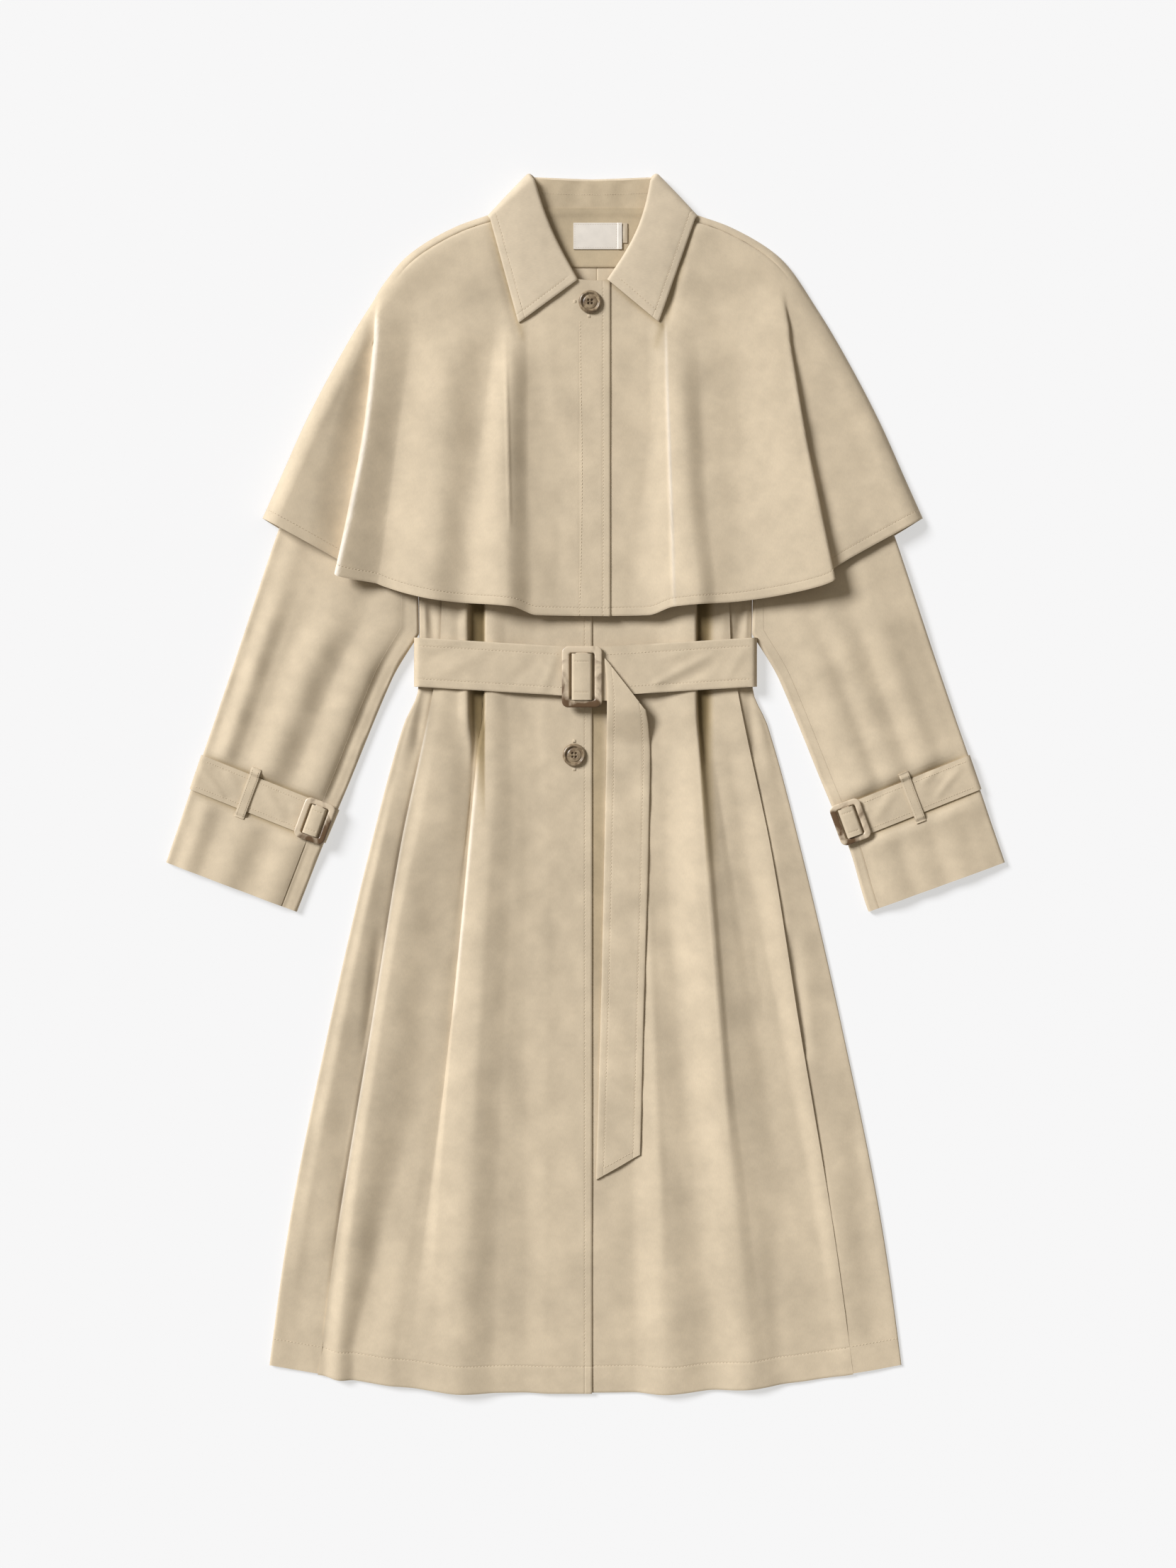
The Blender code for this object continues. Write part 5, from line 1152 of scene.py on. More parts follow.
def collar_frame(u):
    """Fold point, direction to the leaf's edge and outward normal; u goes 0 to 6 from the left point to the
    right one."""
    side = np.where(u < 3, LEFT, RIGHT)
    w = 3.0 - np.abs(u - 3.0)
    front, turn, back = np.clip(w, 0, 1), np.clip(w - 1, 0, 1) * np.pi, np.clip(w - 2, 0, 1)

    def blend(start_out, start_y, corner, end_y):
        out = start_out + (corner.out - start_out) * front
        y = start_y + (corner.y - start_y) * front
        return out * (1 - back), y + (end_y - y) * back
    fold_out, fold_y = blend(LEAF_FRONT_END.out, LEAF_FRONT_END.y, FOLD_CORNER, BACK_FOLD_Y)
    fold_y = fold_y + BACK_RISE * ease(turn / np.pi) * (1 - back)
    fold_out = fold_out + np.where(u < 3, FOLD_BOW[LEFT], FOLD_BOW[RIGHT]) * np.sin(np.pi * front)
    tip_out = np.where(u < 3, LEAF_TIPS[LEFT].out, LEAF_TIPS[RIGHT].out)
    tip_y = np.where(u < 3, LEAF_TIPS[LEFT].y, LEAF_TIPS[RIGHT].y)
    edge_out, edge_y = blend(tip_out, tip_y, LEAF_CORNER, BACK_LEAF_Y)
    length = np.hypot(edge_out - fold_out, edge_y - fold_y)
    d = ((edge_out - fold_out) / length, (edge_y - fold_y) / length)
    across = (LEAF_CORNER.out - FOLD_CORNER.out, LEAF_CORNER.y - FOLD_CORNER.y)
    size = math.hypot(*across)
    radius = (COLLAR_FRONT_Z - COLLAR_CLOTH) / 2
    n = (-across[1] / size * np.sin(turn), across[0] / size * np.sin(turn), np.cos(turn))
    start = (fold_out + radius * n[0], fold_y + radius * n[1], COLLAR_CLOTH + radius * (1 + n[2]))
    return side, start, d, n, length, (front, turn / np.pi, back)


print("leaf at the shoulder in mm:", round(1000 * math.dist(FOLD_CORNER, LEAF_CORNER)))

# %% The collar's fall and stand
def collar_at(u, v):
    """v 0 to 1 is a half circle at the fold, 1 to 2 the leaf, which swells a little and drops to the cape."""
    side, start, d, n, length, (front, turn, _) = collar_frame(u)
    angle, over = np.pi * (np.clip(v, 0, 1) - 0.5), np.clip(v - 1, 0, 1)
    first = COLLAR_ROLL + COLLAR_CLOTH - COLLAR_ROLL * np.cos(angle)
    reach = first + (length - first) * over
    edge, end = length - reach, LEAF_LENGTH * front
    relief = LEAF_SWELL * np.sin(np.pi * over) * ease(end / LEAF_SWELL_REACH)
    relief = relief - (TIP_DROP + (CORNER_DROP - TIP_DROP) * front) * over**DROP_POWER
    relief = relief + sewn(edge, COLLAR_STITCH) + sewn(end, COLLAR_STITCH) * ease(over * 8)
    relief = relief + turned_edge(edge) + turned_edge(end)
    up = COLLAR_ROLL * (np.sin(angle) - 1) + relief * ease(1 - turn / 0.8)
    tuck = CORNER_TUCK * over * (COLLAR_FRONT_Z - COLLAR_CLOTH) / 2
    out = start[0] + d[0] * reach + n[0] * (up - tuck)
    return NECK_X + side * out, start[1] + d[1] * reach + n[1] * (up - tuck), start[2] + n[2] * up


def stand_at(u, v):
    """The band between the roll (v=0) and the neck seam (v=1). At the back it lies flat and a little uneven,
    and its lower edge goes under the facing."""
    side, start, d, n, _, (front, turn, back) = collar_frame(u)
    seam = STAND_FRONT_END + (STAND_SHOULDER - STAND_FRONT_END) * front + (STAND_BACK - STAND_SHOULDER) * back
    seam = seam + STAND_CORNER * ease(2 * turn - 1) * (1 - back)
    near = COLLAR_ROLL + COLLAR_CLOTH + STAND_CLEAR
    near = near + (STAND_NEAR - near) * climb(STAND_NEAR_RAMP, turn)
    reach = near + (seam - near) * v
    up = -2 * COLLAR_ROLL - STAND_CLEAR
    out = start[0] + d[0] * reach + n[0] * up
    x, y = NECK_X + side * out, start[1] + d[1] * reach + n[1] * up
    soft = STAND_SOFT * np.sin(190 * x + 0.6) * np.sin(75 * x + 2.0) * ease(v / 0.1) * ease((1 - v) / 0.4)
    back_z = STAND_TOP_Z + (STAND_FOOT_Z - STAND_TOP_Z) * ease(v) + soft
    front_z = start[2] + n[2] * up
    return x, y, front_z + (back_z - front_z) * climb(STAND_FLAT_RAMP, turn)


def stand_share(u, level):
    """The v of a point on the stand at a given height of the coat, found along a fine run of v."""
    v = np.linspace(0, 1, 200)
    y = stand_at(u[:, None] + 0 * v, v + 0 * u[:, None])[1]
    return v[np.abs(y - level[:, None]).argmin(axis=1)]


def leaf_share(u, inward):
    """The v of a line on the leaf that is some way in from its outer edge."""
    return 2.0 - inward / (collar_frame(u)[4] - COLLAR_ROLL - COLLAR_CLOTH)


COLLAR_EDGE_AT = COLLAR_STITCH / LEAF_LENGTH
leaf_stops = stops(40, (COLLAR_EDGE_AT, 0.03), (0.0, 0.03))
HALF_COLLAR = np.concatenate([leaf_stops, 1 + np.linspace(0, 1, 17)[1:], 2 + np.linspace(0, 1, 13)[1:]])
COLLAR_ROUND = np.concatenate([HALF_COLLAR, 6.0 - HALF_COLLAR[-2::-1]])
leaf_rows = stops(30, (0.868, 0.02), (0.892, 0.025), (1.0, 0.04))
COLLAR_ACROSS = np.concatenate([np.linspace(0, 1, 9), 1 + leaf_rows[1:]])
# The leaves get a little painted light, and the stand, inside the neck, gets painted shade.
cloth("collar", collar_at, COLLAR_ROUND, COLLAR_ACROSS, thick=COLLAR_CLOTH,
      painted_shade_and_light=lambda x, y: 0.06 + 0 * x)
cloth("collar_stand", stand_at, COLLAR_ROUND, np.linspace(0, 1, 16), grow=-1,
      painted_shade_and_light=lambda x, y: -0.10 + 0 * x)

# %% Stitches of the collar
ROLL_END = 1.12
share = np.linspace(0.0, 1.0, LINE_POINTS)
lines = []
for side in (LEFT, RIGHT):
    for front in (COLLAR_EDGE_AT + (0.99 - COLLAR_EDGE_AT) * share, COLLAR_EDGE_AT + 0 * share):
        u = front if side == LEFT else 6.0 - front
        v = leaf_share(u, COLLAR_STITCH)
        v = v if np.ptp(u) > 0 else ROLL_END + (v - ROLL_END) * share
        lines.append(on_top(collar_at, u, v, COLLAR_CLOTH + LOW_LIFT))
sew("collar_stitches", lines)

# %% [markdown]
# ## Inside the neck
# Between the leaves the inside of the back shows: a facing, a woven label and the small tab beside it. The
# label is left blank. They lie flat, so each is a small rectangle that takes the height of the back and adds
# its own layer.

# %% Facing, label and tab
FACING_FOOT, FACING_TOP, FACING_FOOT_HALF, FACING_TOP_HALF = 0.5125, 0.5705, 0.038, 0.068
FACING_CLEAR, FACING_LIFT, FACING_LIFT_RAMP = 0.0005, 0.0008, Ramp(0.5610, 0.005)
STAND_STITCH_Y, STAND_STITCH_RISE = 0.5840, 0.0034
LABEL_X, LABEL_Y, LABEL_SIZE = 0.012, 0.543, (0.048, 0.026)
TAB_X, TAB_Y, TAB_SIZE = 0.0392, 0.546, (0.0042, 0.0196)
LABEL_CLOTH, LABEL_RIB, LABEL_SWELL, LABEL_FOLD_RAMP = 0.0008, 0.0005, 0.0004, Ramp(0.90, 0.03)


def label_weave(name, colour):
    """Satin: fine level ribs from a wave along the label's length, with a faint cloud."""
    made, tree, shader = new_finish(name)
    weave = node(tree, "ShaderNodeUVMap", uv_map="cloth").outputs["UV"]
    ribs = node(tree, "ShaderNodeTexWave", {"Vector": weave, "Scale": math.pi / (10 * LABEL_RIB),
                                            "Distortion": 0.3}, bands_direction="Y").outputs["Fac"]
    tone = times(tree, spread(tree, noise(tree, weave, 90.0), 0.95, 1.04), spread(tree, ribs, 0.97, 1.02))
    bump = node(tree, "ShaderNodeBump", {"Height": ribs, "Strength": 0.25, "Distance": 0.0001})
    feed(tree, shader, {"Base Color": tinted(tree, colour, tone), "Normal": bump.outputs["Normal"],
                        "Roughness": 0.5})
    return made


def inside_height(y):
    return back_lift(y) + CLOTH + FACING_CLEAR


def facing_at(u, v):
    y = FACING_FOOT + (FACING_TOP - FACING_FOOT) * v
    half = FACING_FOOT_HALF + (FACING_TOP_HALF - FACING_FOOT_HALF) * v
    lift = FACING_LIFT * climb(FACING_LIFT_RAMP, y)
    return NECK_X + half * (2 * u - 1), y, inside_height(y) + lift + turned_edge(y - FACING_FOOT)


def patch_at(x, y, size, fold=0.0):
    """A small rectangle on the facing, a little swollen in the middle, with a doubled right end."""
    def place(u, v):
        level = y + size[1] * (v - 0.5)
        swell = LABEL_SWELL * np.sin(np.pi * u) * np.sin(np.pi * v) + fold * climb(LABEL_FOLD_RAMP, u)
        return x + size[0] * (u - 0.5), level, inside_height(level) + CLOTH + EASE + swell
    return place


LABEL = label_weave("label_satin", (0.740, 0.685, 0.605))
TAB = label_weave("tab_satin", (0.520, 0.430, 0.305))
label_at, tab_at = patch_at(LABEL_X, LABEL_Y, LABEL_SIZE, fold=0.0006), patch_at(TAB_X, TAB_Y, TAB_SIZE)
# The facing takes the darker copy of the cloth, as painted shade.
cloth("neck_facing", facing_at, np.linspace(0, 1, 41), stops(30, (0.0, 0.03)), look=INSIDE_IN_PAINTED_SHADE)
cloth("neck_label", label_at, stops(25, (0.915, 0.03)), np.linspace(0, 1, 17), look=LABEL, thick=LABEL_CLOTH)
cloth("size_tab", tab_at, np.linspace(0, 1, 7), np.linspace(0, 1, 13), look=TAB, thick=LABEL_CLOTH)
lines = [stitch_line(label_at, (0.03, 0.97), v, LABEL_CLOTH) for v in (0.06, 0.94)]
lines += [stitch_line(label_at, u, (0.06, 0.94), LABEL_CLOTH) for u in (0.03, 0.885)]
sew("label_stitches", lines, TAB, length=0.0016, pitch=0.0024, radius=0.00014)
band = 2.0 + 2.0 * share
level = STAND_STITCH_Y + STAND_STITCH_RISE * np.abs(2 * share - 1) ** 2
lines = [on_top(stand_at, band, stand_share(band, level), CLOTH + LOW_LIFT)]
sew("neck_stitches", lines, length=0.0018, pitch=0.0026, radius=0.00022)

# %% [markdown]
# ## The belt
# The belt is a stiff double strip with a line of stitches near each edge. It goes right round the coat,
# passes through the buckle, and its tail is folded down over itself along a slant. The short stretch between
# buckle and fold is a piece of its own. The tail's two edges come from a table, and u goes from one to the
# other.

# %% Belt, tail and tongue
BELT_CLOTH, BELT_HALF_WIDTH, BELT_HALF_SPAN = 0.0016, 0.0242, 0.1695
BELT_TOP, BELT_CORNER, BELT_MOST, BELT_STITCHES = 0.0148, 0.0060, 0.0010, (0.165, 0.835)
BELT_SIDE_Y, BELT_MIDDLE_Y, BELT_CALM_X, BELT_CALM_RAMP = 0.1218, 0.1115, 0.018, Ramp(0.040, 0.012)
TAIL_CLOTH, TAIL_CLEAR, TAIL_RAMP, TAIL_STITCHES = 0.0012, 0.0010, Ramp(0.040, 0.040), (0.16, 0.84)
TAIL_WIDTH, TAIL_SWELL, TAIL_RUMPLE = 0.043, 0.0005, 0.0002
TONGUE_X, TONGUE_TOP_IN, TONGUE_FOOT_IN, TONGUE_FOLD_IN = 0.0078, 0.002, 0.006, 0.0015
Edge = namedtuple("Edge", "left_x left_y right_x right_y")
TAIL = (
    Edge(left_x=0.0190, left_y=0.126, right_x=0.0590, right_y=0.074),
    Edge(left_x=0.0215, left_y=0.090, right_x=0.0620, right_y=0.058),
    Edge(left_x=0.0210, left_y=0.040, right_x=0.0635, right_y=0.030),
    Edge(left_x=0.0190, left_y=-0.060, right_x=0.0620, right_y=-0.060),
    Edge(left_x=0.0155, left_y=-0.220, right_x=0.0575, right_y=-0.220),
    Edge(left_x=0.0105, left_y=-0.390, right_x=0.0540, right_y=-0.365),
)
BELT_CREASES = (
    Crease(x0=0.064, y0=0.098, x1=0.128, y1=0.131, reach=0.0030, rise=0.0013),
    Crease(x0=0.074, y0=0.094, x1=0.130, y1=0.119, reach=0.0045, rise=-0.0010),
    Crease(x0=0.070, y0=0.124, x1=0.104, y1=0.131, reach=0.0040, rise=0.0007),
    Crease(x0=-0.026, y0=0.134, x1=-0.044, y1=0.090, reach=0.0050, rise=0.0010),
    Crease(x0=-0.045, y0=0.124, x1=-0.074, y1=0.102, reach=0.0060, rise=-0.0008),
    Crease(x0=-0.090, y0=0.136, x1=-0.150, y1=0.106, reach=0.0060, rise=0.0008),
    Crease(x0=-0.120, y0=0.138, x1=-0.158, y1=0.124, reach=0.0050, rise=-0.0007),
    Crease(x0=0.138, y0=0.104, x1=0.158, y1=0.136, reach=0.0050, rise=0.0007),
)


def nearest(at, lines):
    """Distance to the nearest of a few lines."""
    return np.min([np.abs(at - line) for line in lines], axis=0)


def belt_at(u, v):
    """Outer face round the waist: a flat tube whose top dips to the buckle."""
    x, z, zone, _ = tube(u, BELT_HALF_SPAN - BELT_CORNER, BELT_CORNER, BELT_TOP / 2)
    z = z + BELT_TOP / 2
    dip = (BELT_SIDE_Y - BELT_MIDDLE_Y) * (1 - np.abs(x) / BELT_HALF_SPAN)
    y = BELT_SIDE_Y - np.where(z > BELT_TOP / 2, dip, 0.0) + BELT_HALF_WIDTH * (2 * v - 1)
    stitch, edge = (nearest(v, lines) * 2 * BELT_HALF_WIDTH for lines in (BELT_STITCHES, (0.0, 1.0)))
    relief = crease_relief(BELT_CREASES, x, y) + sewn(stitch, 0.0) + turned_edge(edge)
    away = climb(BELT_CALM_RAMP, np.abs(x - BELT_CALM_X))
    return x, y, z + np.where(zone == 0, np.minimum(relief, BELT_MOST) * away, 0.0)


def tail_at(u, v):
    """Free end from the slanting fold (v=0) to its end (v=1), on the belt at first and then on the skirt."""
    lx, ly, rx, ry = along(TAIL, ("left_x", "left_y", "right_x", "right_y"), v)
    x, y = lx + (rx - lx) * u, ly + (ry - ly) * u
    on_belt = BELT_TOP + 2 * EASE + TAIL_CLOTH
    on_skirt = front_height(RIGHT, x, y)[1] + CLOTH + TAIL_CLEAR
    stitch, edge = (nearest(u, lines) * TAIL_WIDTH for lines in (TAIL_STITCHES, (0.0, 1.0)))
    relief = TAIL_SWELL * np.sin(np.pi * u) + rumple(x, y, TAIL_RUMPLE)
    z = on_skirt + (on_belt - on_skirt) * climb(TAIL_RAMP, y)
    return x, y, z + sewn(stitch, 0.0) + turned_edge(edge) + relief


def tongue_at(u, v):
    """Level stretch from the buckle (u=0) to the slanting fold (u=1)."""
    fold = TAIL[0]
    top, foot = fold.left_y - TONGUE_TOP_IN, fold.left_y - 2 * BELT_HALF_WIDTH + TONGUE_FOOT_IN
    y = foot + (top - foot) * v
    slant = (fold.right_x - fold.left_x) / (fold.left_y - fold.right_y)
    fold_x = fold.left_x + slant * (fold.left_y - y) - TONGUE_FOLD_IN
    return TONGUE_X + (fold_x - TONGUE_X) * u, y, BELT_TOP + EASE + 0 * u


BELT_ACROSS, TAIL_ACROSS = (stops(count, *((share, 0.05) for share in sewn_at), (0.0, 0.03), (1.0, 0.03))
                            for count, sewn_at in ((17, BELT_STITCHES), (15, TAIL_STITCHES)))
cloth("belt", belt_at, zone_stops(121, 13, 21, 13), BELT_ACROSS, thick=BELT_CLOTH, grow=-1, ring=True)
cloth("belt_tail", tail_at, TAIL_ACROSS, np.linspace(0, 1, 150), thick=TAIL_CLOTH, grow=-1)
cloth("belt_tongue", tongue_at, np.linspace(0, 1, 13), np.linspace(0, 1, 13), thick=TAIL_CLOTH)
BELT_SEWN = ((0.005, 0.425), (0.56, 0.995))
lines = [stitch_line(belt_at, ends, v, LOW_LIFT) for v in BELT_STITCHES for ends in BELT_SEWN]
lines += [stitch_line(tail_at, u, (0.02, 0.985), TAIL_CLOTH + LOW_LIFT) for u in TAIL_STITCHES]
lines.append(stitch_line(tail_at, TAIL_STITCHES, 0.985, TAIL_CLOTH + LOW_LIFT))
sew("belt_stitches", lines)

# %% [markdown]
# ## Horn buckles and the cloth round their bars
# The slide buckles look like moulded pale horn: cream with brown drifts, rounded all over and softly glossy.
# Each is a frame whose section is carried round between an inner and an outer rounded rectangle, with a bar
# across its middle. The strap's sewn end is closed round the bar.

# %% Horn finishes
def horn(name, pale, dark, scale, low, high, stretch):
    """Two colours mixed by a noise that is warped by another, for drifting clouds of colour."""
    made, tree, shader = new_finish(name)
    body = node(tree, "ShaderNodeTexCoord").outputs["Object"]
    place = node(tree, "ShaderNodeMapping", {"Vector": body, "Scale": stretch}).outputs["Vector"]
    drift = node(tree, "ShaderNodeTexNoise", {"Vector": place, "Scale": scale, "Detail": 4.0,
                                              "Distortion": 1.2}).outputs["Fac"]
    stain = node(tree, "ShaderNodeAttribute", attribute_name="stain").outputs["Fac"]
    share = node(tree, "ShaderNodeMapRange", {"Value": maths(tree, "ADD", drift, stain), "From Min": low,
                                              "From Max": high}).outputs["Result"]
    feed(tree, shader, {"Base Color": mixed(tree, (*pale, 1.0), (*dark, 1.0), share), "Coat Weight": 0.25,
                        "Roughness": spread(tree, noise(tree, place, scale * 9), 0.26, 0.40),
                        "Coat Roughness": 0.2})
    return made


PALE_HORN = horn("horn_marbled", (0.640, 0.525, 0.375), (0.120, 0.068, 0.032), scale=60.0, low=0.52, high=0.80,
                 stretch=(1.0, 0.7, 1.0))
DARK_HORN = horn("horn_brown", (0.330, 0.250, 0.155), (0.115, 0.072, 0.038), scale=150.0, low=0.38, high=0.66,
                 stretch=(1.0, 1.0, 1.0))
print("horn finishes:", PALE_HORN.name, DARK_HORN.name)

# %% Buckles and wrapped ends
Buckle = namedtuple("Buckle", "width height bar side end thick")
BELT_BUCKLE = Buckle(width=0.0396, height=0.0605, bar=0.0146, side=0.0073, end=0.0068, thick=0.0030)
CUFF_BUCKLE = Buckle(width=0.0315, height=0.0415, bar=0.0105, side=0.0060, end=0.0055, thick=0.0026)
BELT_BUCKLE_AT, CUFF_LEAN = (-0.0035, 0.1070), math.radians(20.0)
CUFF_BUCKLE_AT = {LEFT: (-0.2672, -0.0350), RIGHT: (0.2612, -0.0360)}
OUTER_CORNER, INNER_CORNER, END_CLEAR, END_TIP_CLEAR = 0.0062, 0.0022, 0.0002, 0.0006
SECTION_POWER, BAR_CLEAR, BAR_SHARE, STAIN_DEPTH = 0.62, 0.001, 0.7, 0.80
END_STITCHES, END_SWELL, END_STITCH_DEPTH = (0.17, 0.83), 0.0005, 0.0003


def rounded_loop(width, height, radius, share):
    """A rounded rectangle, anticlockwise; share 0 to 4 goes through its corners, a quarter turn each."""
    corner = np.floor(share)
    angle = np.pi / 2 * share
    sx = np.where((corner == 0) | (corner >= 3), 1.0, -1.0)
    sy = np.where(corner < 2, 1.0, -1.0)
    return np.stack([sx * (width / 2 - radius) + radius * np.cos(angle),
                     sy * (height / 2 - radius) + radius * np.sin(angle)], axis=-1)


def turned(points, at, turn):
    """Rotate points about the upright axis and move them into place."""
    c, s = math.cos(turn), math.sin(turn)
    x, y, z = points[..., 0], points[..., 1], points[..., 2]
    return np.stack([at[0] + c * x - s * y, at[1] + s * x + c * y, at[2] + z], axis=-1)


def join_meshes(name, meshes):
    """One mesh from several, with the vertices of equal places merged and the faces turned outwards."""
    whole = bmesh.new()
    for mesh in meshes:
        whole.from_mesh(mesh)
        bpy.data.meshes.remove(mesh)
    bmesh.ops.remove_doubles(whole, verts=whole.verts, dist=1e-6)
    bmesh.ops.holes_fill(whole, edges=[e for e in whole.edges if e.is_boundary], sides=0)
    bmesh.ops.recalc_face_normals(whole, faces=whole.faces)
    joined = bpy.data.meshes.new(name)
    whole.to_mesh(joined)
    whole.free()
    joined.shade_smooth()
    return joined


Stain = namedtuple("Stain", "x y reach")
STAINS = {
    "belt_buckle": (Stain(-0.019, -0.030, 0.007), Stain(0.018, 0.004, 0.003), Stain(0.014, -0.028, 0.004)),
    "cuff_buckle_left": (Stain(0.015, -0.012, 0.008), Stain(-0.004, -0.021, 0.006)),
    "cuff_buckle_right": (Stain(-0.014, 0.010, 0.006), Stain(-0.004, -0.021, 0.007),
                          Stain(0.014, -0.006, 0.003)),
}


def buckle(solid, size, at, turn):
    """Section: a flattened ellipse from the inner loop to the outer one; the bar is a flat ellipse across."""
    quarter = np.concatenate([np.linspace(k, k + 0.9999, 11) for k in range(4)] + [[0.0]])
    outer = rounded_loop(size.width, size.height, OUTER_CORNER, quarter)
    inner = rounded_loop(size.width - 2 * size.side, size.height - 2 * size.end, INNER_CORNER, quarter)
    angle = np.linspace(0, 2 * np.pi, 25)
    across, level = (np.sign(wave) * np.abs(wave) ** SECTION_POWER for wave in (np.cos(angle), np.sin(angle)))
    level = level * size.thick / 2
    plan = (outer + inner)[:, None] / 2 + (outer - inner)[:, None] / 2 * across[None, :, None]
    rim = np.concatenate([plan, np.broadcast_to(level[None, :, None], plan.shape[:2] + (1,))], axis=-1)
    length = np.linspace(-0.5, 0.5, 9)[:, None] * (size.height - size.end)
    bar = (across[None] * (size.bar / 2 - BAR_CLEAR), length, BAR_SHARE * level[None])
    bar = np.stack(np.broadcast_arrays(*bar), axis=-1)
    meshes = [grid_mesh(solid, turned(shape, at, turn), ring=True)[0] for shape in (rim, bar)]
    joined = join_meshes(solid + "_horn", meshes)
    spots = np.empty(3 * len(joined.vertices), np.float32)
    joined.vertices.foreach_get("co", spots)
    spots = turned(spots.reshape(-1, 3) - np.array(at, np.float32), (0.0, 0.0, 0.0), -turn)
    off2 = [((spots[:, 0] - k.x) ** 2 + (spots[:, 1] - k.y) ** 2) / k.reach**2 for k in STAINS[solid]]
    stain = STAIN_DEPTH * np.exp(-np.array(off2)).sum(axis=0)
    joined.attributes.new("stain", "FLOAT", "POINT").data.foreach_set("value", stain.astype(np.float32))
    piece = dress(joined.name, joined, PALE_HORN, [solid])
    print(f"{piece.name}: {len(joined.polygons)} faces")


def wrapped_end(solid, size, at, turn):
    """A closed sleeve of cloth round the bar: a flat tube, a little swollen on top. It gives back its two
    lines of stitches."""
    flat, radius = size.bar / 2 - END_CLEAR, size.thick / 2 + EASE
    half = (size.height - 2 * size.end) / 2 - END_TIP_CLEAR

    def place(u, v):
        x, z, zone, t = tube(u, flat, radius, radius)
        stitch = sewn(nearest(v, END_STITCHES) * 2 * half, 0.0, END_STITCH_DEPTH)
        z = z + np.where(zone == 0, END_SWELL * np.sin(np.pi * t) + stitch, 0.0)
        points = turned(np.stack([x, half * (2 * v - 1), z], axis=-1), at, turn)
        return points[..., 0], points[..., 1], points[..., 2]
    rows = stops(25, *((share, 0.06) for share in END_STITCHES))
    cloth(solid, place, zone_stops(17, 11, 2, 11), rows, ring=True)
    return [stitch_line(place, (0.06, 0.94), v) for v in END_STITCHES]


BUCKLE_BASE, SOLID_CLOTH = 0.0168, 0.0012
belt_mid = BUCKLE_BASE + BELT_BUCKLE.thick / 2
cuff_mid = UNDER_LIFT + 2 * SLEEVE_FOLD + 3 * EASE + 2 * SOLID_CLOTH + CUFF_BUCKLE.thick / 2
jobs = [("belt_buckle", "belt_end", BELT_BUCKLE, (*BELT_BUCKLE_AT, belt_mid), 0.0)]
for side, word in ((LEFT, "left"), (RIGHT, "right")):
    at = (*CUFF_BUCKLE_AT[side], cuff_mid)
    jobs.append((f"cuff_buckle_{word}", f"cuff_end_{word}", CUFF_BUCKLE, at, side * CUFF_LEAN))
lines = []
for frame_name, end_name, size, at, turn in jobs:
    buckle(frame_name, size, at, turn)
    lines += wrapped_end(end_name, size, at, turn)
sew("end_stitches", lines, length=0.0020, pitch=0.0028, radius=0.00024)

# %% [markdown]
# ## The buttons
# Two dark horn buttons show, turned on a lathe: a raised rim, a dished middle and four holes. A button is a
# profile that goes round its axis, and the holes are four small dents in its height, so no cutting is needed.

# %% Buttons
Turn = namedtuple("Turn", "out up")
BUTTON_TOP = (
    Turn(out=0.0, up=0.0025),
    Turn(out=0.0045, up=0.0026),
    Turn(out=0.0062, up=0.0024),
    Turn(out=0.0074, up=0.0017),
    Turn(out=0.0083, up=0.0027),
    Turn(out=0.0093, up=0.0036),
    Turn(out=0.0102, up=0.0034),
    Turn(out=0.0111, up=0.0024),
    Turn(out=0.0114, up=0.0016),
)
HOLE_OUT, HOLE_RADIUS, HOLE_DEPTH, HOLE_FLAT, HOLE_WALL = 0.0024, 0.00125, 0.0018, 0.6, 0.5
BUTTON_UNDER, BUTTON_GAP = 0.0012, 0.0003


def button(solid, x, y, low):
    """Radius and angle make the grid; the height is the profile less four bells at the holes."""
    radius = np.concatenate([np.linspace(0.00001, 0.0040, 26), np.linspace(0.0042, BUTTON_TOP[-1].out, 22)])
    angle = np.linspace(0, 2 * np.pi, 97)
    r, a = np.meshgrid(radius, angle)
    px, py = r * np.cos(a), r * np.sin(a)
    height = through(column(BUTTON_TOP, "out"), column(BUTTON_TOP, "up"), r)
    for k in range(4):
        ha = math.radians(45 + 90 * k)
        off = np.hypot(px - HOLE_OUT * math.cos(ha), py - HOLE_OUT * math.sin(ha))
        height = height - HOLE_DEPTH * ease(1.0 - (off - HOLE_FLAT * HOLE_RADIUS) / (HOLE_WALL * HOLE_RADIUS))
    below = BUTTON_UNDER * (r / BUTTON_TOP[-1].out) ** 6
    top, under = (np.stack([x + px, y + py, low + level], axis=-1) for level in (height, below))
    points = np.concatenate([top, under[:, ::-1]], axis=1).transpose(1, 0, 2)
    made = join_meshes(solid + "_horn", [grid_mesh(solid, points, ring=True)[0]])
    piece = dress(made.name, made, DARK_HORN, [solid])
    print(f"{piece.name}: {len(made.polygons)} faces")


NECK_BUTTON_AT, FRONT_BUTTON_AT = (0.0046, 0.4770), (-0.0112, 0.0300)


def on_cape_or_front(x, y):
    """Top of the cloth under a button: the cape's at the neck, and the left front's below the belt."""
    if y > BELT_SIDE_Y:
        return cape_base(NECK_BUTTON_AT[1]) + FRONT_OVERLAP + CLOTH
    return front_height(LEFT, np.array([x]), np.array([y]))[1][0] + CLOTH


for solid, (x, y) in (("button_neck", NECK_BUTTON_AT), ("button_front", FRONT_BUTTON_AT)):
    button(solid, x, y, on_cape_or_front(x, y) + BUTTON_GAP)

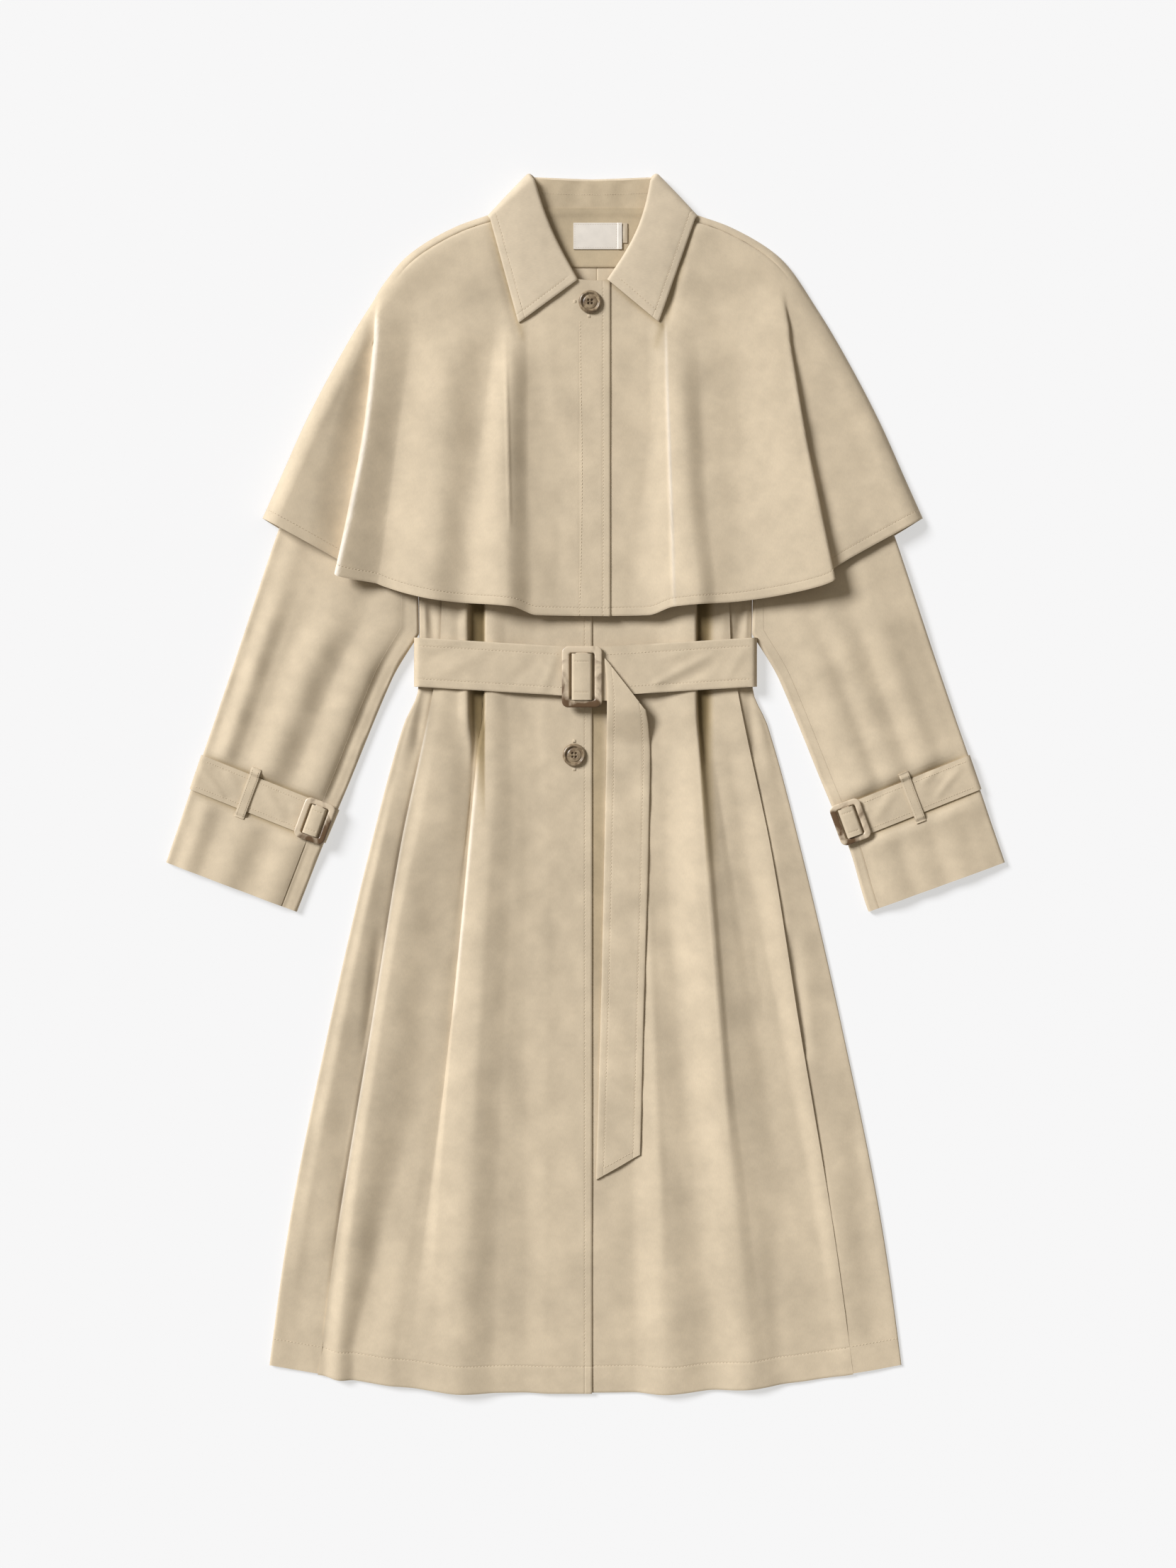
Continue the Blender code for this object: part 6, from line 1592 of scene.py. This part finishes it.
# %% Ends of the buttonholes
Nub = namedtuple("Nub", "x y dx dy")
NUBS = (
    Nub(x=-0.0105, y=0.4774, dx=1, dy=0),
    Nub(x=0.0035, y=0.4630, dx=0, dy=1),
    Nub(x=-0.0112, y=0.0440, dx=0, dy=1),
    Nub(x=-0.0112, y=0.0160, dx=0, dy=1),
)
NUB_HALF, NUB_PITCH = 0.0021, 0.0008
lines = []
for nub in NUBS:
    z = on_cape_or_front(nub.x, nub.y) + BUTTON_GAP
    for k in (-1, 0, 1):
        x, y = nub.x + k * NUB_PITCH * nub.dy, nub.y + k * NUB_PITCH * nub.dx
        lines.append(np.array([(x + s * nub.dx, y + s * nub.dy, z) for s in (-NUB_HALF, NUB_HALF)]))
sew("buttonhole_ends", lines, length=2 * NUB_HALF, pitch=2 * NUB_HALF, radius=0.00052)

# %% [markdown]
# ## Floor and light
# The coat lies on a plain pale table that is lit a little from below, as for a cut-out picture, so its
# shadows are faint. One large soft light stands at the upper left and the room fills the shade, so slopes
# that face left are bright and those that face right are darker.

# %% Floor, light and room
FLOOR_HALF, FLOOR_Z = 6.0, -0.0002
floor_mesh = bpy.data.meshes.new("floor")
corners = ((-1, -1), (1, -1), (1, 1), (-1, 1))
floor_mesh.from_pydata([(x * FLOOR_HALF, y * FLOOR_HALF, FLOOR_Z) for x, y in corners], [], [(0, 1, 2, 3)])
floor = bpy.data.objects.new("floor", floor_mesh)
bpy.context.scene.collection.objects.link(floor)
pale, tree, shader = new_finish("pale_floor")
feed(tree, shader, {"Base Color": (0.36, 0.36, 0.36, 1.0), "Emission Color": (1.0, 1.0, 1.0, 1.0),
                    "Emission Strength": 0.555, "Roughness": 0.9, "Specular IOR Level": 0.1})
floor_mesh.materials.append(pale)

key = bpy.data.objects.new("key_light", bpy.data.lights.new("key_light", "SUN"))
bpy.context.scene.collection.objects.link(key)
key.data.energy, key.data.angle = 4.15, math.radians(22)
key.data.color = (0.985, 1.0, 1.045)
key.rotation_euler = (math.radians(-26), math.radians(-49), 0.0)
room = bpy.data.worlds.new("room")
room.use_nodes = True
room.node_tree.nodes["Background"].inputs["Color"].default_value = (1.0, 0.93, 0.82, 1.0)
room.node_tree.nodes["Background"].inputs["Strength"].default_value = 0.27
bpy.context.scene.world = room
bpy.context.scene.view_settings.view_transform = "Standard"
print("light from:", [round(x, 2) for x in key.matrix_basis.to_3x3().col[2]])
